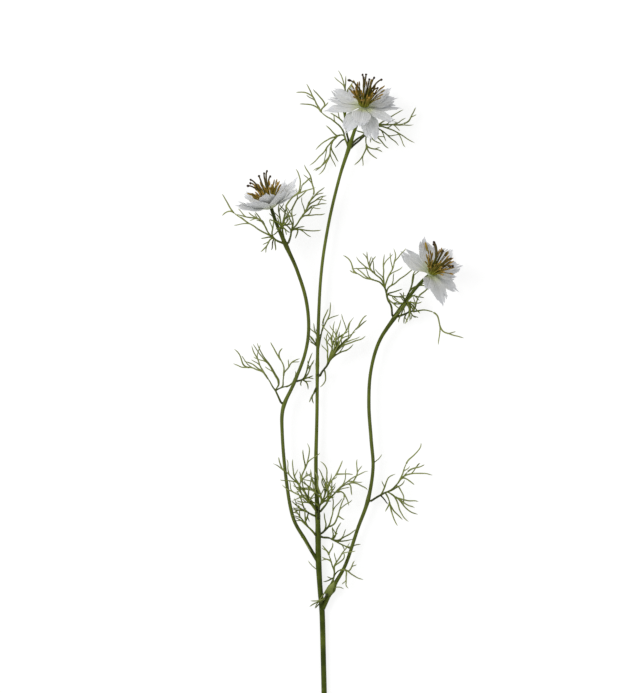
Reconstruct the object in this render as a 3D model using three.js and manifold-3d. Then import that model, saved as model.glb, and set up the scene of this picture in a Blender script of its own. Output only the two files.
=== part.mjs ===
// A cut, branching stem of love-in-a-mist with three white blooms, thread-like bracts and feathery leaves,
// lying on a flat surface. Lengths are in millimetres. X is to the right and Y towards the tip of the spray,
// and +Z is up from the surface. The origin is the middle of the spray's footprint, on the surface.
import * as THREE from 'three';
import { mergeVertices } from 'three/addons/utils/BufferGeometryUtils.js';
import Module from 'manifold-3d';

const wasm = await Module();
wasm.setup();

// Driving dimensions
const GAP = 0.3; // between pieces that meet
const SLIVER = 0.001; // corners nearer than this become one
const STEM_SIDES = 6;
const STALK_RADII = [0.85, 0.65]; // a leaf's stalk, root and hub
const LIMB_RADII = [0.62, 0.42]; // a leaf's main threads, root and tip
const FORK_RADII = [0.46, 0.36]; // side threads
const THREAD_SIDES = 3;
const THREAD_FATNESS = 1.2; // a three-sided thread as wide to the eye as a round one
const THREAD_STEP = 13; // greatest length of one straight piece of a thread
const ROOT_SPREAD = 0.014; // how much further back each next limb leaves its parent
const SUNK_START = 0.1; // where on its curve a thread begins that leaves the middle of its parent
const THREAD_LOWEST = 1.3; // how low a thread's middle line may hang
const PETAL_LOWEST = -0.5; // how low a petal's middle surface may hang: its tip is then pressed flat
const FLOOR_SOFTNESS = 1.2; // how gently a low thread or petal bends along the surface
const DEPARTURE = 0.3; // how far a thread runs along its parent before it swings to its tip
const PETAL_THICKNESS = 0.6;
const PETAL_ROOT = 2.6; // where a petal leaves the flower's axis
const PETAL_LAYER = 0.55; // how far the upper and lower petals stand from the middle of the disc
const DISC = { radius: 3.7, half: 0.8, underside: 0.6, shoulder: 0.9, sides: 8 };
const COLLAR = { inner: 3.1, outer: 3.9, foot: 1.9, top: 3.2, sides: 8 };
const STAMEN = { length: 11, lengthSpread: 3.5, lean: 14, leanSpread: 22, knee: 0.42, kneeHeight: 0.55 };
// Stations of a stamen and of a style, as [place along it, radius]
const STAMEN_STATIONS = [[0, 0.5], [0.68, 0.42], [0.84, 0.95], [1, 0.4]];
const STYLE_STATIONS = [[0, 0.75], [0.4, 0.6], [0.72, 0.5], [0.92, 0.95], [1, 0.65]];
const STAMEN_UNEVENNESS = 0.3; // of the space between two stamens
const OVARY = { radius: 2.7, foot: 1.1, top: 8, underside: 0.75, shoulder: 0.6, crown: 0.4, sides: 8 };
const STYLE = { root: 1.3, sunk: 1.2, reach: 2.2, low: 0.55, high: 1.04, swing: 0.55 };
const FORK = { turn: 24, turnSpread: 16, reach: 0.3, reachSpread: 0.2, shortest: 4.5, longest: 13 };
const FORK_RISE = 0.5; // how far a side thread climbs or falls, for each length of its run
const FORK_BEND = 0.05;
const FORK_DEPARTURE = 0.34; // a side thread's DEPARTURE
const FORK_PLACES = { first: 0.3, spread: 0.46 }; // where side threads leave a limb
const LATE = 0.64; // how far along a thread the bow is that its bend makes
const PETAL_CLAW = 0.25; // a petal's least half width
const PETAL_WAVE = { height: 0.7, turns: 7, cup: 0.08 }; // how a petal's sides ripple and rise

// Middle lines of the stems, as [x, y, z, radius]
const STEMS = {
  stem_main: [
    [-13.1, -236.3, 1.65, 1.95],
    [-14.2, -186.5, 2.1, 1.9],
    [-15.1, -152, 2.7, 1.95],
    [-16.6, -134.6, 3.1, 1.85],
    [-17.8, -113, 3.6, 2.1],
    [-18.2, -86, 4, 1.8],
    [-19.5, -48, 4.7, 1.35],
    [-18.8, -10, 5.4, 1.2],
    [-18.2, 38, 6.2, 1.2],
    [-16.1, 88, 7, 1.1],
    [-10.9, 125, 7.6, 1.1],
    [-3, 159.1, 8.2, 1.1],
    [3.8, 180.5, 9.2, 1.35],
    [8.6, 195, 12.2, 1.15],
    [13.9, 208.5, 19.2, 1.25],
  ],
  stem_left: [
    [-18.6, -114.5, 3.9, 1.35],
    [-26.9, -100.1, 5.4, 1.3],
    [-36.1, -82.8, 6.6, 1.25],
    [-41.1, -54, 7.8, 1.2],
    [-43.6, -24, 8.6, 1.2],
    [-43, -5, 9.2, 1.35],
    [-35.6, 12.2, 9.8, 1.2],
    [-27.6, 33, 10.6, 1.15],
    [-24.7, 52, 11.3, 1.2],
    [-26.7, 73, 12.4, 1.25],
    [-33.2, 94, 14, 1.25],
    [-40, 109.2, 16, 1.45],
    [-47.2, 125.5, 18.8, 1.2],
    [-51.2, 137.2, 21.3, 1.25],
  ],
  stem_right: [
    [-14.3, -149, 3.3, 1.5],
    [-10.9, -140.4, 4.1, 1.7],
    [-8.3, -134.8, 4.7, 2.6],
    [-5, -129.4, 5.1, 1.4],
    [2.2, -116, 5.4, 1.25],
    [10.4, -91.4, 6, 1.25],
    [17.7, -71, 6.4, 1.35],
    [21.4, -48.2, 6.8, 1.2],
    [20, -27, 7.1, 1.25],
    [18.4, -3, 7.3, 1.25],
    [19.7, 20.9, 7.5, 1.2],
    [25.6, 42.5, 7.7, 1.25],
    [37.1, 60.5, 8, 1.5],
    [48.6, 76.9, 9.2, 1.2],
    [56.6, 86.2, 11.8, 1.15],
    [62.2, 90.9, 15.1, 1.2],
  ],
};

// Blooms. A petal is [angle round the flower, length, width, rise, curl, start of its wave, twist, side of
// the disc], a style is [angle, height, outward swing], and angles are in degrees.
const BLOOMS = [
  {
    name: 'top',
    centre: [14, 209.2, 19.8],
    faces: [0.15, 0.75, 0.64],
    stamens: 11,
    seed: 71,
    petals: [
      [-8, 23.2, 11, -3, 6, 4.4, 0, -1],
      [-32, 26.4, 14.5, -5, 6, 1.5, 0, 1],
      [-62, 21.8, 11, 2, 4, 3, 0, -1],
      [-95, 20, 11, -6, -4, 5.6, 0, 1],
      [-125, 26.4, 10.5, 14, -6, 1.1, 0, -1],
      [-144, 24.4, 12.5, 3, 6, 0.4, 0, 1],
      [-162, 24.4, 9.5, 4, -6, 2.1, 0, -1],
      [157, 23.4, 11, -6, 4, 3.6, 0, 1],
      [116, 26.4, 14.5, -16, -12, 5.2, 0, -1],
      [90, 21.4, 14, 4, -16, 0.9, 0, 1],
      [67, 22.4, 13, -16, -14, 2.6, 0, -1],
      [20, 24.9, 10.5, -8, -2, 3.9, 0, 1],
    ],
    styles: [
      [11, 21, 12.4],
      [-29, 24.2, 3.8],
      [36, 25.5, 2.8],
      [0, 26.8, 0.3],
      [-99, 21.5, 0.8],
      [141, 27.2, 2.6],
      [-168, 23.8, 7.5],
      [165, 18.8, 6],
      [151, 15.5, 6.1],
    ],
  },
  {
    name: 'left',
    centre: [-51.5, 137.8, 21.2],
    faces: [-0.34, 0.93, 0.14],
    stamens: 11,
    seed: 73,
    petals: [
      [-10, 22.4, 12.5, 28, 12, 0.6, 20, -1],
      [20, 22.8, 14, 14, 14, 2.3, -42, 1],
      [54, 22.9, 14, 26, 2, 4.1, 0, -1],
      [88, 22.4, 14, 32, -6, 5.5, 0, 1],
      [122, 22.4, 13.5, 28, -8, 1.2, 0, -1],
      [158, 22.4, 13, 10, 2, 2.9, 34, 1],
      [-167, 25.6, 13, 26, 10, 4.7, 26, -1],
      [-132, 24.4, 12, 28, 6, 0.2, 0, 1],
      [-95, 22.4, 12.5, 26, 4, 3.3, 0, -1],
      [-52, 25, 11.5, 32, 10, 5, 0, 1],
    ],
    styles: [
      [20, 20, 9.3],
      [-25, 20.8, 7],
      [15, 23.2, 5.3],
      [86, 23.8, 1.8],
      [-143, 24, 2.8],
      [163, 25, 4.8],
      [-158, 20.5, 6.1],
    ],
  },
  {
    name: 'right',
    centre: [62.6, 91.4, 14.9],
    faces: [0.38, 0.6, 0.7],
    stamens: 11,
    seed: 79,
    petals: [
      [-7, 24.2, 18, -2, 6, 0.9, 0, -1],
      [-49, 25.4, 13.5, 10, 6, 4, 0, 1],
      [-75, 24.4, 10.5, 4, -2, 5.3, 0, -1],
      [-96, 25.9, 11.5, 8, 6, 1.4, 0, 1],
      [-123, 25.4, 13, 4, 2, 3.1, 0, -1],
      [-143, 18.4, 10, -4, -4, 4.6, 0, 1],
      [-165, 21.8, 12.5, -8, -12, 0.3, 0, -1],
      [137, 23, 13.5, -6, -10, 2, 0, 1],
      [98, 19.9, 9, 18, -10, 3.4, 0, -1],
    ],
    styles: [
      [0, 25.6, 9.2],
      [-20, 20.8, 9],
      [161, 22.8, 4.1],
      [180, 16.2, 8.3],
      [150, 18.5, 7.9],
      [-60, 20.8, 1],
    ],
  },
];

// Leaves and bracts. A limb is [limb it leaves, place along that limb, x, y and z of its tip, bend, side
// threads], and -1 stands for the stalk.
const FRONDS = [
  {
    name: 'bract_top_left',
    seed: 3,
    root: [3, 182.5, 8.6],
    hub: [0.8, 191.2, 9.5],
    bend: 0.05,
    limbs: [
      [-1, 0.97, -16.2, 207.2, 12, 0.03, 1],
      [0, 1, -31.4, 212.2, 12, -0.2, 0],
      [0, 1, -26.4, 226, 18, -0.05, 1],
      [2, 0.56, -34, 220.3, 15, -0.16, 0],
      [0, 1, -10.5, 213.5, 13, 0.05, 0],
      [4, 0.6, -21.6, 222.6, 14, -0.08, 0],
      [-1, 0.9, -5.8, 188.2, 8, -0.3, 0],
      [6, 1, -24.2, 169.3, 3, 0.08, 1],
      [6, 0.96, -17.6, 162.5, 2, 0.2, 2],
      [8, 0.62, -19.8, 165.5, 2.2, 0.05, 0],
      [8, 0.4, -3, 171.6, 5, 0, 0],
      [6, 0.7, -19.5, 180, 7, -0.2, 0],
      [-1, 0.7, -6, 181.5, 6, 0, 0],
      [6, 0.8, -12, 198, 6, -0.05, 0],
    ],
  },
  {
    name: 'bract_top_right',
    seed: 5,
    root: [5.8, 183.6, 10.2],
    hub: [15.3, 191.4, 11],
    bend: 0,
    limbs: [
      [-1, 1, 27, 184.6, 8, -0.2, 1],
      [-1, 0.97, 16.6, 183.2, 7, 0, 0],
      [1, 0.95, 28.3, 178.6, 5, 0.1, 1],
      [1, 1, 24.3, 173.9, 3, -0.18, 0],
      [1, 1, 8, 169.5, 2.5, 0.16, 1],
      [-1, 1, 9, 194.2, 9, 0.1, 0],
    ],
  },
  {
    name: 'bract_top_far',
    seed: 8,
    root: [5, 181.4, 8],
    hub: [23.5, 196.6, 5.5],
    bend: 0,
    limbs: [
      [-1, 1, 44, 199, 5, -0.06, 2],
      [0, 1, 52, 210.5, 7, -0.04, 1],
      [-1, 0.97, 50, 198.4, 3, -0.03, 1],
      [-1, 0.97, 51.2, 185.5, 3, 0.05, 2],
      [-1, 0.93, 40, 183.4, 4, 0.06, 2],
      [-1, 0.8, 32.6, 181.3, 2.5, -0.04, 1],
      [-1, 1, 43.5, 208.6, 8, 0.06, 1],
    ],
  },
  {
    name: 'bract_top_back',
    seed: 9,
    root: [3.4, 184.5, 6.8],
    hub: [1.6, 205, 4],
    bend: 0.03,
    limbs: [
      [-1, 1, -3.5, 236.6, 9, -0.16, 2],
      [-1, 1, 2.2, 233.5, 6, 0.03, 1],
      [-1, 0.9, -3, 216, 4, 0.1, 1],
      [-1, 0.6, -9, 207, 3, -0.1, 1],
    ],
  },
  {
    name: 'bract_left_outer',
    seed: 12,
    root: [-41.2, 111, 16],
    hub: [-50, 116.2, 17.5],
    bend: 0.04,
    limbs: [
      [-1, 1, -79.4, 135.6, 16, 0.05, 1],
      [0, 1, -86.6, 147, 20, -0.12, 0],
      [0, 0.98, -86.4, 132.6, 14, -0.3, 0],
      [0, 0.66, -73, 132, 12, 0, 0],
      [-1, 1, -57, 128, 20, 0.08, 0],
      [4, 0.98, -76, 133.4, 18.5, 0.1, 2],
      [4, 0.92, -67, 134.2, 24, 0.04, 1],
      [4, 0.7, -62, 133.8, 27.5, 0, 1],
      [-1, 1, -50, 130, 25, -0.1, 1],
      [-1, 1, -59, 106.2, 13, 0.05, 2],
      [-1, 1, -59, 116.4, 12, -0.1, 0],
      [-1, 0.98, -51.8, 108.4, 13, 0.1, 0],
      [-1, 0.9, -48.4, 107.6, 12, 0.1, 0],
    ],
  },
  {
    name: 'bract_left_inner',
    seed: 14,
    root: [-39.3, 112.6, 17],
    hub: [-36, 121.6, 18],
    bend: 0.08,
    limbs: [
      [-1, 1, -21.6, 147.4, 24, -0.08, 1],
      [0, 1, -27.6, 167.4, 28, -0.05, 1],
      [1, 0.55, -30, 152.4, 25, 0, 0],
      [0, 0.8, -13, 152, 20, 0.12, 1],
      [0, 0.62, -12, 146.6, 17, 0.16, 1],
      [0, 0.5, -11.5, 141, 14, 0.2, 2],
      [0, 0.4, -13, 133.9, 10, 0, 1],
      [-1, 0.86, -16, 122.4, 9, -0.08, 1],
      [7, 0.4, -34, 116.2, 11, 0.1, 0],
      [-1, 1, -40.2, 140, 31, 0.14, 1],
      [9, 1, -20, 151.2, 35, 0.14, 1],
      [10, 0.62, -34, 163.8, 37, -0.3, 0],
      [-1, 1, -35.5, 140, 24, 0.05, 1],
      [12, 1, -25, 149.5, 29, 0.12, 1],
      [-1, 1, -43.2, 129, 16, 0.1, 1],
      [-1, 1, -27.5, 124.6, 14, 0.1, 0],
    ],
  },
  {
    name: 'bract_left_under',
    seed: 17,
    root: [-42.4, 114.4, 14.5],
    hub: [-43.5, 123, 10],
    bend: 0,
    limbs: [
      [-1, 1, -46, 141, 8, 0.1, 2],
      [-1, 1, -41.5, 141, 5, -0.1, 2],
      [-1, 0.95, -53.5, 134.5, 4, -0.1, 1],
      [-1, 0.9, -36, 139, 3, 0.1, 1],
    ],
  },
  {
    name: 'bract_right_outer',
    seed: 22,
    root: [35.4, 61.6, 9.4],
    hub: [29.6, 81.5, 12],
    bend: 0.07,
    limbs: [
      [-1, 1, 9, 103, 15, 0.05, 2],
      [0, 0.5, 17, 106.5, 19, 0.1, 2],
      [0, 0.6, 23.5, 103, 17, 0.12, 0],
      [-1, 1, 8, 93.2, 10, 0.14, 1],
      [3, 1, 0, 104, 9, -0.24, 0],
      [3, 0.98, 4.5, 93.8, 8, 0.04, 0],
      [3, 0.56, 9.5, 96, 7, 0.04, 0],
      [-1, 1, 29.4, 104.5, 16, 0.05, 2],
      [-1, 1, 35.6, 109, 19, -0.24, 3],
      [-1, 0.86, 50.6, 97, 10, -0.14, 1],
      [-1, 0.82, 42.5, 80.4, 9, -0.05, 0],
      [-1, 0.82, 46, 73.8, 7.5, -0.1, 2],
      [-1, 0.76, 40.6, 66.6, 12, -0.2, 1],
    ],
  },
  {
    name: 'bract_right_inner',
    seed: 26,
    root: [38.6, 60.4, 8.2],
    hub: [50, 64.6, 9],
    bend: 0.12,
    limbs: [
      [-1, 1, 64.5, 63.2, 8, 0.14, 0],
      [0, 1, 68.3, 40.5, 3, 0.12, 0],
      [1, 0.5, 86.8, 45.7, 3.5, -0.12, 1],
      [-1, 0.95, 56, 77, 10, 0.2, 1],
      [3, 0.95, 63.5, 88, 11, -0.3, 1],
      [-1, 0.77, 41, 74, 12, -0.2, 3],
      [-1, 0.88, 52, 60, 5, -0.3, 2],
      [-1, 0.6, 43.6, 55.6, 3, -0.1, 1],
      [-1, 0.9, 45, 69, 15, -0.4, 2],
    ],
  },
  {
    name: 'bract_right_under',
    seed: 28,
    root: [40.8, 65.6, 6.2],
    hub: [48.2, 79.4, 4],
    bend: 0,
    limbs: [
      [-1, 1, 54, 95, 3, 0.24, 1],
      [-1, 1, 51.5, 90, 2, 0.06, 0],
      [-1, 0.95, 62.5, 82, 3, 0.2, 1],
      [-1, 0.7, 58, 74, 2, 0.1, 1],
    ],
  },
  {
    name: 'leaf_left',
    seed: 31,
    root: [-44.2, -1, 9],
    hub: [-48.5, 7.4, 10],
    bend: 0,
    limbs: [
      [-1, 1, -55, 18, 12, 0.06, 0],
      [0, 1, -79, 27.2, 14, 0.04, 1],
      [1, 0.62, -78, 37.6, 16, -0.14, 0],
      [0, 0.95, -71, 28.6, 9, -0.12, 0],
      [0, 0.9, -65, 39.6, 18, 0.04, 2],
      [-1, 1, -46.4, 13.2, 13, -0.25, 0],
      [5, 1, -64.4, 40.8, 20, 0, 1],
      [5, 0.7, -61.2, 41.6, 17, 0.06, 1],
      [-1, 0.98, -39.4, 10.4, 5, 0.1, 0],
      [8, 1, -34.4, 22, 4, -0.25, 0],
      [8, 0.7, -41.6, 21, 6, 0.12, 0],
      [10, 1, -46.4, 32.6, 9, -0.08, 0],
      [11, 1, -51.5, 42.6, 12, 0.14, 0],
      [11, 0.98, -43, 38.5, 10, 0.3, 0],
      [10, 0.98, -31, 30.2, 4.5, 0.2, 2],
    ],
  },
  {
    name: 'leaf_between',
    seed: 33,
    root: [-33.6, 14.2, 9.5],
    hub: [-29, 15, 5],
    bend: 0,
    limbs: [
      [-1, 1, -21.5, 18.5, 3, 0.1, 1],
      [-1, 1, -21, 29.6, 5, 0.04, 1],
      [-1, 0.9, -21.8, 34.8, 4, 0.14, 1],
      [-1, 1, -25, 8.2, 2.5, 0.3, 1],
      [-1, 0.9, -30, 10.8, 2, -0.3, 0],
    ],
  },
  {
    name: 'leaf_right',
    seed: 36,
    root: [-16.6, 18.4, 8.4],
    hub: [-10.2, 28, 11],
    bend: 0,
    limbs: [
      [-1, 1, 10.4, 53.4, 15, 0, 3],
      [0, 1, 17.2, 61.2, 16, 0.16, 0],
      [0, 0.95, 17, 57.6, 13, 0.06, 0],
      [0, 0.45, 15.8, 46.8, 12, -0.14, 0],
      [-1, 1, -1.5, 58.4, 19, 0.04, 3],
      [-1, 1, 7.2, 60, 22, 0.03, 3],
      [-1, 0.85, -6, 57.5, 14, 0.04, 3],
      [-1, 0.8, -11, 49.6, 11, 0.1, 2],
      [-1, 0.5, -16.5, 9.8, 5, 0.4, 0],
    ],
  },
  {
    name: 'leaf_back',
    seed: 37,
    root: [-19, 26, 4.5],
    hub: [-17.5, 37, 3],
    bend: 0,
    limbs: [
      [-1, 1, -24, 45.5, 2, 0, 1],
      [-1, 1, -22, 56, 3.5, -0.05, 2],
      [-1, 1, -14.4, 59, 3, -0.05, 1],
      [2, 0.92, -10, 66.6, 3, 0.05, 0],
      [2, 0.68, -9.2, 71, 2, -0.22, 1],
      [-1, 0.8, -25, 48.4, 1.5, -0.05, 1],
    ],
  },
  {
    name: 'leaf_low_left',
    seed: 41,
    root: [-19.6, -77, 7],
    hub: [-24.5, -69.5, 10],
    bend: 0,
    limbs: [
      [-1, 1, -50, -44, 14, -0.1, 2],
      [0, 0.78, -46, -39, 17, 0.12, 0],
      [0, 0.3, -36, -41, 19, 0.15, 1],
      [-1, 0.4, -43.4, -59.8, 10, 0.08, 2],
      [-1, 0.95, -29.6, -56, 15, 0.1, 0],
      [4, 1, -25.6, -29.6, 17, -0.26, 1],
      [5, 0.42, -29, -33.8, 20, 0, 0],
      [4, 1, -22.4, -51, 14, 0.12, 1],
      [-1, 0.9, -23.8, -48, 17, -0.1, 1],
    ],
  },
  {
    name: 'leaf_low_right',
    seed: 43,
    root: [-16.2, -79.5, 7],
    hub: [-10.6, -71, 11],
    bend: 0,
    limbs: [
      [-1, 1, 5.8, -57.6, 16, 0.16, 1],
      [0, 1, 9.8, -41, 18, -0.06, 1],
      [0, 0.97, 17.2, -63.2, 12, 0.1, 0],
      [0, 0.9, 6.2, -66.8, 11, 0.1, 0],
      [-1, 1, 17.8, -49.2, 20, 0.14, 2],
      [0, 0.5, 4.2, -75, 8, 0.2, 1],
      [-1, 0.9, -8, -54.5, 22, -0.05, 1],
      [-1, 0.8, -18.2, -46.8, 20, -0.12, 1],
      [7, 0.5, -4, -49.4, 22, 0, 0],
      [8, 1, -1, -41, 24, -0.05, 0],
      [8, 0.94, 6.6, -51.8, 22, 0.05, 0],
      [7, 0.6, -16.8, -41.8, 22, -0.3, 0],
    ],
  },
  {
    name: 'leaf_low_fan',
    seed: 47,
    root: [-20.2, -82, 4.8],
    hub: [-24.5, -80, 5],
    bend: 0,
    limbs: [
      [-1, 1, -37, -71, 3, 0.1, 2],
      [-1, 1, -37, -78, 2, -0.1, 2],
      [-1, 1, -33, -64, 4, 0, 2],
      [-1, 0.9, -27.6, -87, 2, 0.1, 1],
    ],
  },
  {
    name: 'leaf_low_down',
    seed: 52,
    root: [-20, -96, 5.2],
    hub: [-25.2, -89.6, 6],
    bend: 0,
    limbs: [
      [-1, 1, -36, -75.5, 8, 0.05, 3],
      [-1, 0.7, -34.6, -83.4, 5, -0.1, 2],
      [-1, 1, -27, -76, 10, 0.1, 1],
    ],
  },
  {
    name: 'leaf_low_rise',
    seed: 55,
    root: [-15.8, -94.8, 5.5],
    hub: [-9.6, -90.2, 7],
    bend: 0.05,
    limbs: [
      [-1, 1, 1.6, -67, 6, 0.02, 1],
      [-1, 0.6, -8, -67, 3, -0.1, 1],
      [0, 0.45, 1.2, -84.2, 10, -0.2, 0],
      [-1, 0.3, -13.8, -80, 4, -0.1, 0],
    ],
  },
  {
    name: 'leaf_low_arc',
    seed: 58,
    root: [-15.6, -97.2, 4.6],
    hub: [-8.4, -99, 5.5],
    bend: 0.1,
    limbs: [
      [-1, 1, 7.4, -98.7, 3, -0.08, 1],
      [-1, 1, 9.4, -91.6, 9, -0.06, 1],
      [-1, 1, 5.4, -106.2, 1.8, -0.04, 1],
      [2, 0.8, 12.8, -102.8, 1.5, 0, 0],
      [-1, 1, -7.8, -90.5, 8, -0.1, 1],
      [-1, 1, -1.8, -86.6, 8, 0.1, 1],
    ],
  },
  {
    name: 'leaf_base',
    seed: 61,
    root: [-9.8, -134, 5.4],
    hub: [-6.6, -125.6, 7.4],
    bend: -0.12,
    limbs: [
      [-1, 1, -10.2, -109.4, 8.5, 0, 0],
      [0, 1, -15, -102.9, 8.5, 0, 1],
      [0, 1, -7.4, -100.8, 10, -0.12, 0],
      [0, 0.7, -15.2, -111.6, 8, 0.1, 1],
      [0, 0.25, 4.2, -101, 12, -0.02, 2],
      [4, 0.25, 0.8, -107.6, 10, -0.4, 0],
      [-1, 0.9, -14.4, -129.4, 6.5, 0.12, 1],
      [-1, 1, -0.6, -120.2, 10, 0.3, 0],
      [7, 1, 14.6, -128.4, 3, -0.12, 0],
      [8, 0.45, 8.4, -114.4, 8, 0, 1],
      [8, 0.3, 3.8, -134.8, 4, -0.2, 1],
      [-1, 0.3, -20.6, -148.6, 4.5, 0, 1],
    ],
  },
  {
    name: 'leaf_far_right',
    seed: 64,
    root: [19.4, -71.4, 6.5],
    hub: [32.4, -64.4, 8],
    bend: 0,
    limbs: [
      [-1, 1, 46.4, -49.6, 11, -0.05, 0],
      [0, 1, 58, -45.4, 13, -0.04, 1],
      [0, 0.5, 45.4, -43.6, 14, 0.1, 1],
      [2, 1, 55, -29.4, 15, -0.24, 0],
      [0, 0.75, 63.5, -53, 9, 0.14, 1],
      [0, 0.7, 51, -60.2, 6, 0.14, 0],
      [0, 0.35, 43.8, -74.4, 4, 0.26, 0],
      [-1, 0.98, 44, -56.4, 6, -0.2, 0],
      [-1, 1, 39.5, -70, 6, 0, 0],
      [8, 1, 54.2, -71.8, 7, 0.04, 0],
      [8, 1, 53.4, -82, 3, -0.14, 0],
      [8, 0.97, 51.4, -76.6, 5, -0.04, 0],
      [8, 0.6, 46.6, -86.6, 2, -0.14, 0],
      [-1, 0.97, 34, -76, 5, -0.04, 0],
      [13, 1, 39.2, -89.6, 2, -0.1, 0],
      [13, 0.96, 42.8, -85.6, 4, 0, 0],
      [13, 0.98, 30, -79.2, 3, -0.1, 0],
      [-1, 0.74, 37.2, -52, 12, 0.3, 1],
      [-1, 0.75, 32, -74, 3, -0.05, 0],
    ],
  },
];

const UP = new THREE.Vector3(0, 0, 1);

// Solids

function toSolid(geometry, tolerance = 1e-5) {
  const bare = geometry.clone();
  bare.deleteAttribute('normal');
  bare.deleteAttribute('uv');
  const merged = mergeVertices(bare, tolerance);
  const vertProperties = new Float32Array(merged.attributes.position.array);
  const triVerts = new Uint32Array(merged.index.array);
  return new wasm.Manifold(new wasm.Mesh({ numProp: 3, vertProperties, triVerts }));
}

function toGeometry(solid) {
  const mesh = solid.getMesh();
  const geometry = new THREE.BufferGeometry();
  geometry.setAttribute('position', new THREE.BufferAttribute(mesh.vertProperties.slice(), 3));
  geometry.setIndex(new THREE.BufferAttribute(mesh.triVerts.slice(), 1));
  geometry.computeVertexNormals();
  return geometry;
}

function join(solids) {
  return solids.reduce((whole, next) => whole.add(next));
}

// The largest body of a solid. The second pass drops the slivers that the first one only loosens.
function withoutScraps(solid) {
  let body = solid;
  for (let pass = 0; pass < 2; pass += 1) {
    const bodies = toSolid(toGeometry(body), SLIVER).decompose();
    body = bodies.reduce((best, next) => (next.volume() > best.volume() ? next : best));
  }
  return body;
}

const ground = new THREE.BoxGeometry(600, 600, 20);
ground.translate(0, 0, -10);
const belowSurface = toSolid(ground);

// Numbers

function seededDraws(seed) {
  let state = seed * 7919 + 17;
  return () => {
    state = (state * 48271) % 2147483647;
    return state / 2147483647;
  };
}

function restOnFloor(z, lowest) {
  return lowest + FLOOR_SOFTNESS * Math.log1p(Math.exp((z - lowest) / FLOOR_SOFTNESS));
}

// Tubes

class RestingCurve extends THREE.Curve {
  constructor(curve, lowest) {
    super();
    this.curve = curve;
    this.lowest = lowest;
  }

  getPoint(t, target = new THREE.Vector3()) {
    this.curve.getPoint(t, target);
    target.z = restOnFloor(target.z, this.lowest);
    return target;
  }
}

// A closed tube along a curve. Each station is [place along the curve from 0 to 1, radius].
function tube(curve, stations, sides) {
  const positions = [];
  const index = [];
  let normal = null;
  for (const [t, radius] of stations) {
    const centre = curve.getPoint(t);
    const tangent = curve.getTangent(t);
    const guide = normal ?? (Math.abs(tangent.z) < 0.95 ? UP : new THREE.Vector3(1, 0, 0));
    normal = guide.clone().addScaledVector(tangent, -guide.dot(tangent)).normalize();
    const side = new THREE.Vector3().crossVectors(tangent, normal);
    for (let k = 0; k < sides; k += 1) {
      const angle = ((k + 0.5) * 2 * Math.PI) / sides;
      const corner = centre.clone();
      corner.addScaledVector(normal, radius * Math.cos(angle));
      corner.addScaledVector(side, radius * Math.sin(angle));
      positions.push(corner.x, corner.y, corner.z);
    }
  }
  for (let ring = 0; ring + 1 < stations.length; ring += 1) {
    for (let k = 0; k < sides; k += 1) {
      const a = ring * sides + k;
      const b = ring * sides + ((k + 1) % sides);
      index.push(a, b, a + sides, b, b + sides, a + sides);
    }
  }
  const last = (stations.length - 1) * sides;
  for (let k = 1; k + 1 < sides; k += 1) {
    index.push(0, k + 1, k, last, last + k, last + k + 1);
  }
  const geometry = new THREE.BufferGeometry();
  geometry.setAttribute('position', new THREE.Float32BufferAttribute(positions, 3));
  geometry.setIndex(index);
  return toSolid(geometry);
}

// Stems

function stemCurve(points) {
  const nodes = points.map(([x, y, z]) => new THREE.Vector3(x, y, z));
  return new THREE.CatmullRomCurve3(nodes, false, 'catmullrom', 0.5);
}

function stemStations(points, extra) {
  const spans = points.length - 1;
  const steps = spans * 2;
  const stations = [];
  for (let step = 0; step <= steps; step += 1) {
    const place = (step / steps) * spans;
    const from = Math.min(Math.floor(place), spans - 1);
    const radius = THREE.MathUtils.lerp(points[from][3], points[from + 1][3], place - from);
    stations.push([step / steps, radius + extra]);
  }
  return stations;
}

function stemSolid(points, extra = 0) {
  return tube(stemCurve(points), stemStations(points, extra), STEM_SIDES);
}

// Leaves and bracts

function threadCurve(start, heading, tip, bend, departure = DEPARTURE) {
  const reach = start.distanceTo(tip);
  const leaving = start.clone().addScaledVector(heading.clone().normalize(), departure * reach);
  const arriving = start.clone().lerp(tip, LATE);
  arriving.x -= (tip.y - start.y) * bend;
  arriving.y += (tip.x - start.x) * bend;
  return new THREE.CubicBezierCurve3(start, leaving, arriving, tip);
}

// The slope of a curve, not made one long, as getTangent would.
function slope(curve, t) {
  const nudge = 1e-4;
  const from = Math.max(t - nudge, 0);
  const to = Math.min(t + nudge, 1);
  return curve.getPoint(to).sub(curve.getPoint(from)).divideScalar(to - from);
}

function forkCurve(limb, at, side, draw) {
  const start = limb.getPoint(at);
  const heading = slope(limb, at);
  const flat = Math.hypot(heading.x, heading.y);
  const turn = side * THREE.MathUtils.degToRad(FORK.turn + FORK.turnSpread * draw());
  const share = FORK.reach + FORK.reachSpread * draw();
  const reach = THREE.MathUtils.clamp(limb.v0.distanceTo(limb.v3) * share, FORK.shortest, FORK.longest);
  const direction = Math.atan2(heading.y, heading.x) + turn;
  const rise = heading.z / flat + FORK_RISE * (draw() - 0.5);
  const run = new THREE.Vector3(Math.cos(direction), Math.sin(direction), rise);
  const tip = start.clone().addScaledVector(run, reach);
  return threadCurve(start, heading, tip, side * FORK_BEND, FORK_DEPARTURE);
}

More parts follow.
